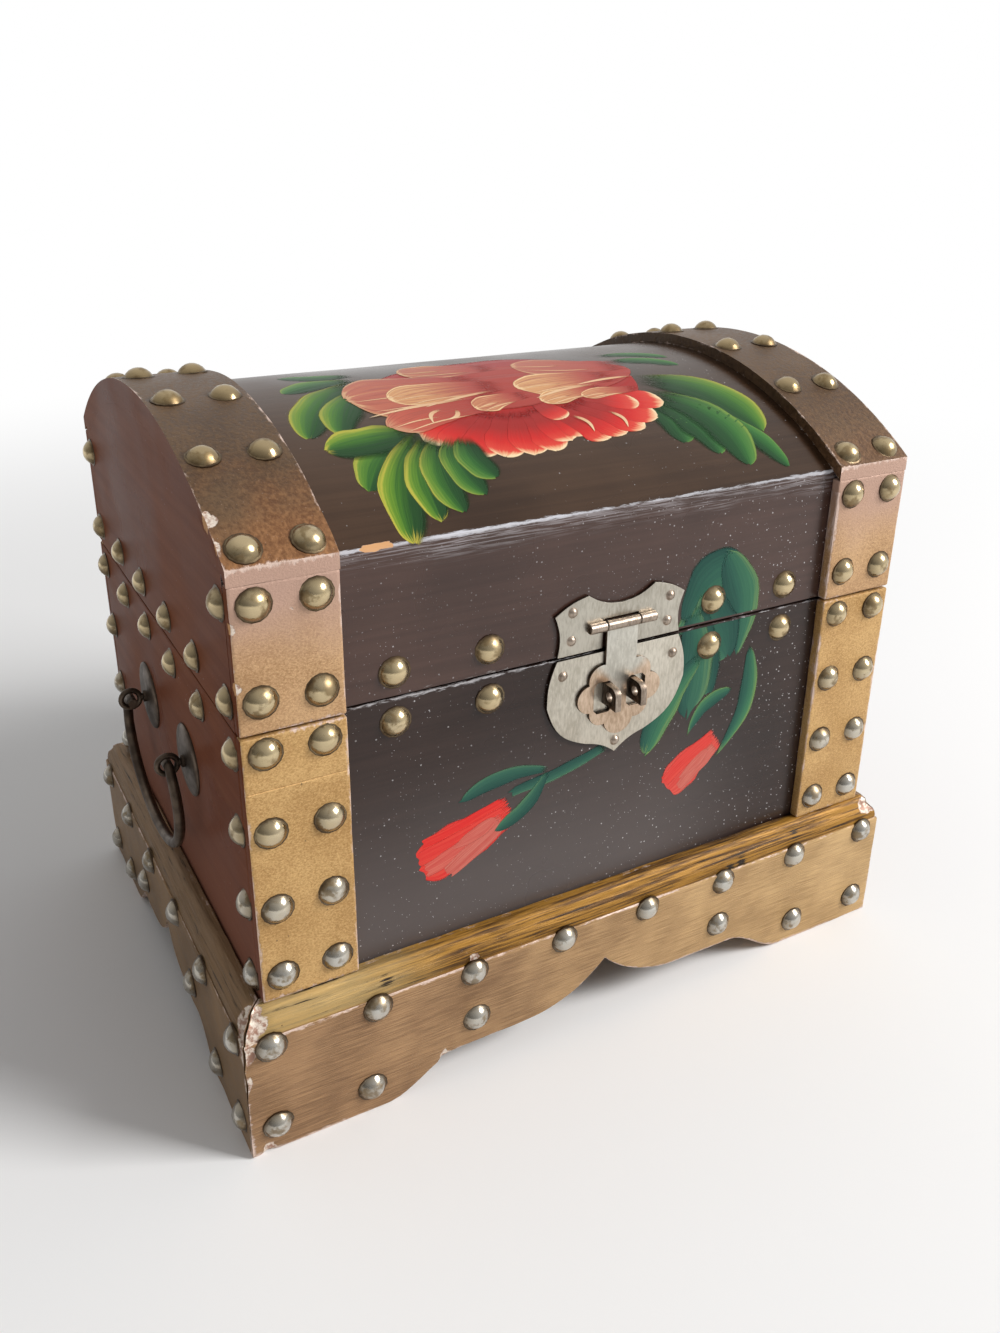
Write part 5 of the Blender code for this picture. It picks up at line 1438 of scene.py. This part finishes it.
bmesh.ops.create_cone(rod, cap_ends=True, segments=knuckle_steps, radius1=hasp_pin_radius,
                      radius2=hasp_pin_radius, depth=barrel_length - hasp_pin_short, matrix=barrel_frame)
bmesh.ops.bevel(rod, geom=rod.edges[:], offset=hasp_pin_soft, segments=1, profile=0.5, affect="EDGES",
                material=-1)
bmesh.ops.transform(rod, matrix=hasp_frame, verts=rod.verts)
piece("hasp_barrel_pin", rod, tarnish_and_painted_shade, "lid", "nickel", "hasp_pin")
for name, body, spots in (("hasp_top_nails", "lid", upper_nail_spots),
                          ("hasp_foot_nails", "base", lower_nail_spots)):
    nails(name, body, [hasp_frame @ Matrix.Translation((*spot, fit + hasp_sheet)) for spot in spots],
          barrel_copper, small_nail)

# Butt hinges: two small brass hinges let into the rear seam, each leaf held by two slotted screws.
# The leaves and pins keep the shape of the solids, with the tarnish of the nails.
screw_radius, screw_rise, screw_slot, screw_spread = 0.0016, 0.0002, 0.0004, 0.0055
screw_section = ((0, screw_rise), (screw_radius * 0.85, screw_rise), (screw_radius, 0),
                 (screw_radius * 0.5, -hinge_sheet), (0, -hinge_sheet))
screw_inset, base_slot_turn, lid_slot_turn = 0.0035, 40, 70
screw_place = half_depth - board_thick + hinge_lip + screw_inset
for side in ("left", "right"):
    for part in ("lower_leaf", "upper_leaf", "pin"):
        for material_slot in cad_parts[f"{side}_hinge_{part}"].material_slots:
            material_slot.material = tarnished_brass


def screws(name, body, places):
    """Slotted screw heads, let in flush."""
    joined = bmesh.new()
    for place in places:
        head = bmesh.new()
        turned(head, screw_section, nail_sides)
        bmesh.ops.remove_doubles(head, verts=head.verts, dist=1e-6)
        sunk(head, (-screw_slot / 2, -2 * screw_radius), (screw_slot / 2, 0, screw_rise), -screw_slot)
        bmesh.ops.transform(head, matrix=place, verts=head.verts)
        head_mesh = bpy.data.meshes.new("screw_head")
        head.to_mesh(head_mesh)
        head.free()
        joined.from_mesh(head_mesh)
    piece(name, joined, tarnished_brass, body, "brass")


screw_line = [side * hinge_place + step for side in (-1, 1) for step in (-screw_spread, screw_spread)]
screws("base_hinge_screws", "base", [Matrix.Translation((along, screw_place, seam_low)) @
                                     Matrix.Rotation(along * base_slot_turn, 4, "Z") for along in screw_line])
screws("lid_hinge_screws", "lid", [Matrix.Translation((along, screw_place, seam_high)) @
                                   Matrix.Rotation(math.pi, 4, "X") @
                                   Matrix.Rotation(along * lid_slot_turn, 4, "Z")
                                   for along in screw_line])

# Drop bails: a thick bronze wire on each end, its turned ends held in two eyes.
# Each eye's shank passes through a domed rosette and the end board, and is clenched inside.
bail_height, eye_spacing, eye_out, eye_radius, eye_wire = 0.0955, 0.0472, 0.0064, 0.0030, 0.0009
shank_radius, clench_length, clench_steps, clench_tip = 0.0011, 0.0090, 6, 0.15
collar_radius, collar_height, collar_top = 0.0019, 0.0007, 0.0010
rosette_radius, rosette_rise, rosette_rim = 0.0112, 0.0017, 0.0004
bail_end, bail_belly = 0.00145, 0.00165
bail_drop, bail_bulge, bail_turn, bail_stub = 0.0341, 0.0062, 0.0020, 0.0040
bail_steps, wire_sides, ring_steps, rosette_steps, rosette_rings = 72, 14, 24, 40, 8


def aged_bronze(name):
    """Dark lacquered bronze, rubbed a little where hands touch it."""
    material, tree, sockets = coated(name, 0.42, metallic=0.85)
    grain = placed(tree, brush_grain, Stretch=(300.0, 300.0, 300.0), Blotch=120.0)
    tone = plus(tree, times(tree, grain["Grain"], 0.8), grain["Patch"])
    colour = mixed(tree, ranged(tree, tone, 0.66, 1.20), (0.052, 0.036, 0.026, 1), (0.135, 0.100, 0.072, 1))
    tree.links.new(colour, sockets["Base Color"])
    tree.links.new(ranged(tree, tone, 0.66, 1.20, 0.52, 0.34), sockets["Roughness"])
    bumped(tree, sockets, tone, 0.18, 0.0003)
    return material


def swept(shape, path, radii):
    """A round wire along a flat path: a ring that is extruded from each point to the next."""
    up = Vector((0, 0, 1))
    frames = []
    for before, place, after, radius in zip([path[0]] + path[:-1], path, path[1:] + [path[-1]], radii):
        tangent = (after - before).normalized()
        turn = Matrix((up, tangent.cross(up), tangent)).transposed().to_4x4()
        frames.append(Matrix.Translation(place) @ turn @ Matrix.Diagonal((radius, radius, 1, 1)))
    ring = bmesh.ops.create_circle(shape, cap_ends=True, segments=wire_sides, radius=1.0,
                                   matrix=frames[0])["verts"]
    edges = [line for line in shape.edges if line.verts[0] in ring and line.verts[1] in ring]
    for before, after in zip(frames, frames[1:]):
        grown = bmesh.ops.extrude_edge_only(shape, edges=edges)["geom"]
        verts = [item for item in grown if isinstance(item, bmesh.types.BMVert)]
        edges = [item for item in grown if isinstance(item, bmesh.types.BMEdge)
                 and item.verts[0] in verts and item.verts[1] in verts]
        bmesh.ops.transform(shape, matrix=after @ before.inverted(), verts=verts)
    bmesh.ops.contextual_create(shape, geom=edges)


dark_bronze = aged_bronze("dark_bronze")
rosette_section = [(shank_radius, 0), (shank_radius, rosette_rise)]
for step in range(1, rosette_rings + 1):
    angle = math.pi / 2 * step / rosette_rings
    rosette_section.append((rosette_radius * math.sin(angle),
                            rosette_rim + (rosette_rise - rosette_rim) * math.cos(angle)))
rosette_section += [(rosette_radius, 0), (shank_radius, 0)]
inside = -board_thick - fit - shank_radius
eye_section = [(0, inside - shank_radius), (shank_radius, inside - shank_radius),
               (shank_radius, rosette_rise), (collar_radius, rosette_rise),
               (collar_radius, rosette_rise + collar_height),
               (shank_radius, rosette_rise + collar_top), (shank_radius, eye_out - eye_radius),
               (0, eye_out - eye_radius)]
bend = eye_spacing / 2 + bail_turn
half_belly = bend + bail_bulge
share = math.sqrt(1 - (bend / half_belly) ** 2)
belly_height = bail_drop / (1 + share)
lowest = -math.asin(share)
for name, turn in (("left", left), ("right", right)):
    end_frame = on_side(turn, half_width, 0, bail_height)
    for place in (-eye_spacing / 2, eye_spacing / 2):
        eye_frame = end_frame @ Matrix.Translation((place, 0, 0))
        end = "front" if eye_frame.translation.y < 0 else "rear"
        rosette = bmesh.new()
        turned(rosette, rosette_section, rosette_steps)
        bmesh.ops.remove_doubles(rosette, verts=rosette.verts, dist=1e-6)
        bmesh.ops.transform(rosette, matrix=eye_frame, verts=rosette.verts)
        piece(f"{name}_{end}_rosette_domed", rosette, dark_bronze, "base", "dark_bronze",
              f"{name}_{end}_rosette")
        eye = bmesh.new()
        bmesh.ops.create_circle(eye, segments=wire_sides, radius=eye_wire,
                                matrix=Matrix.Translation((0, eye_radius, eye_out)))
        bmesh.ops.spin(eye, geom=eye.verts[:] + eye.edges[:], axis=(1, 0, 0), cent=(0, 0, eye_out),
                       angle=math.tau, steps=ring_steps, use_merge=True)
        turned(eye, eye_section, wire_sides)
        swept(eye, [Vector((0, clench_length * (step / clench_steps - 0.5), inside))
                    for step in range(clench_steps + 1)],
              [shank_radius * math.sqrt(max(clench_tip, 1 - (2 * step / clench_steps - 1) ** 4))
               for step in range(clench_steps + 1)])
        bmesh.ops.remove_doubles(eye, verts=eye.verts, dist=1e-6)
        bmesh.ops.transform(eye, matrix=eye_frame, verts=eye.verts)
        piece(f"{name}_{end}_eye_forged", eye, dark_bronze, "base", "dark_bronze", f"{name}_{end}_eye_post")
    path = [Vector((half_belly * math.cos(angle), -belly_height * (share + math.sin(angle)), 0))
            for angle in spaced(lowest, math.pi - lowest, bail_steps)]
    stub = eye_spacing / 2 - bail_stub
    path = ([Vector((stub, 0, 0)), Vector((stub + bail_stub, 0, 0))] + path
            + [Vector((-stub - bail_stub, 0, 0)), Vector((-stub, 0, 0))])
    radii = [bail_end + (bail_belly - bail_end) * min(1.0, -point.y / bail_drop * 2) for point in path]
    bail = bmesh.new()
    swept(bail, path, radii)
    bmesh.ops.transform(bail, matrix=end_frame @ Matrix.Translation((0, 0, eye_out)), verts=bail.verts)
    piece(f"{name}_bail_wire", bail, dark_bronze, f"{name}_bail", "dark_bronze", f"{name}_bail")
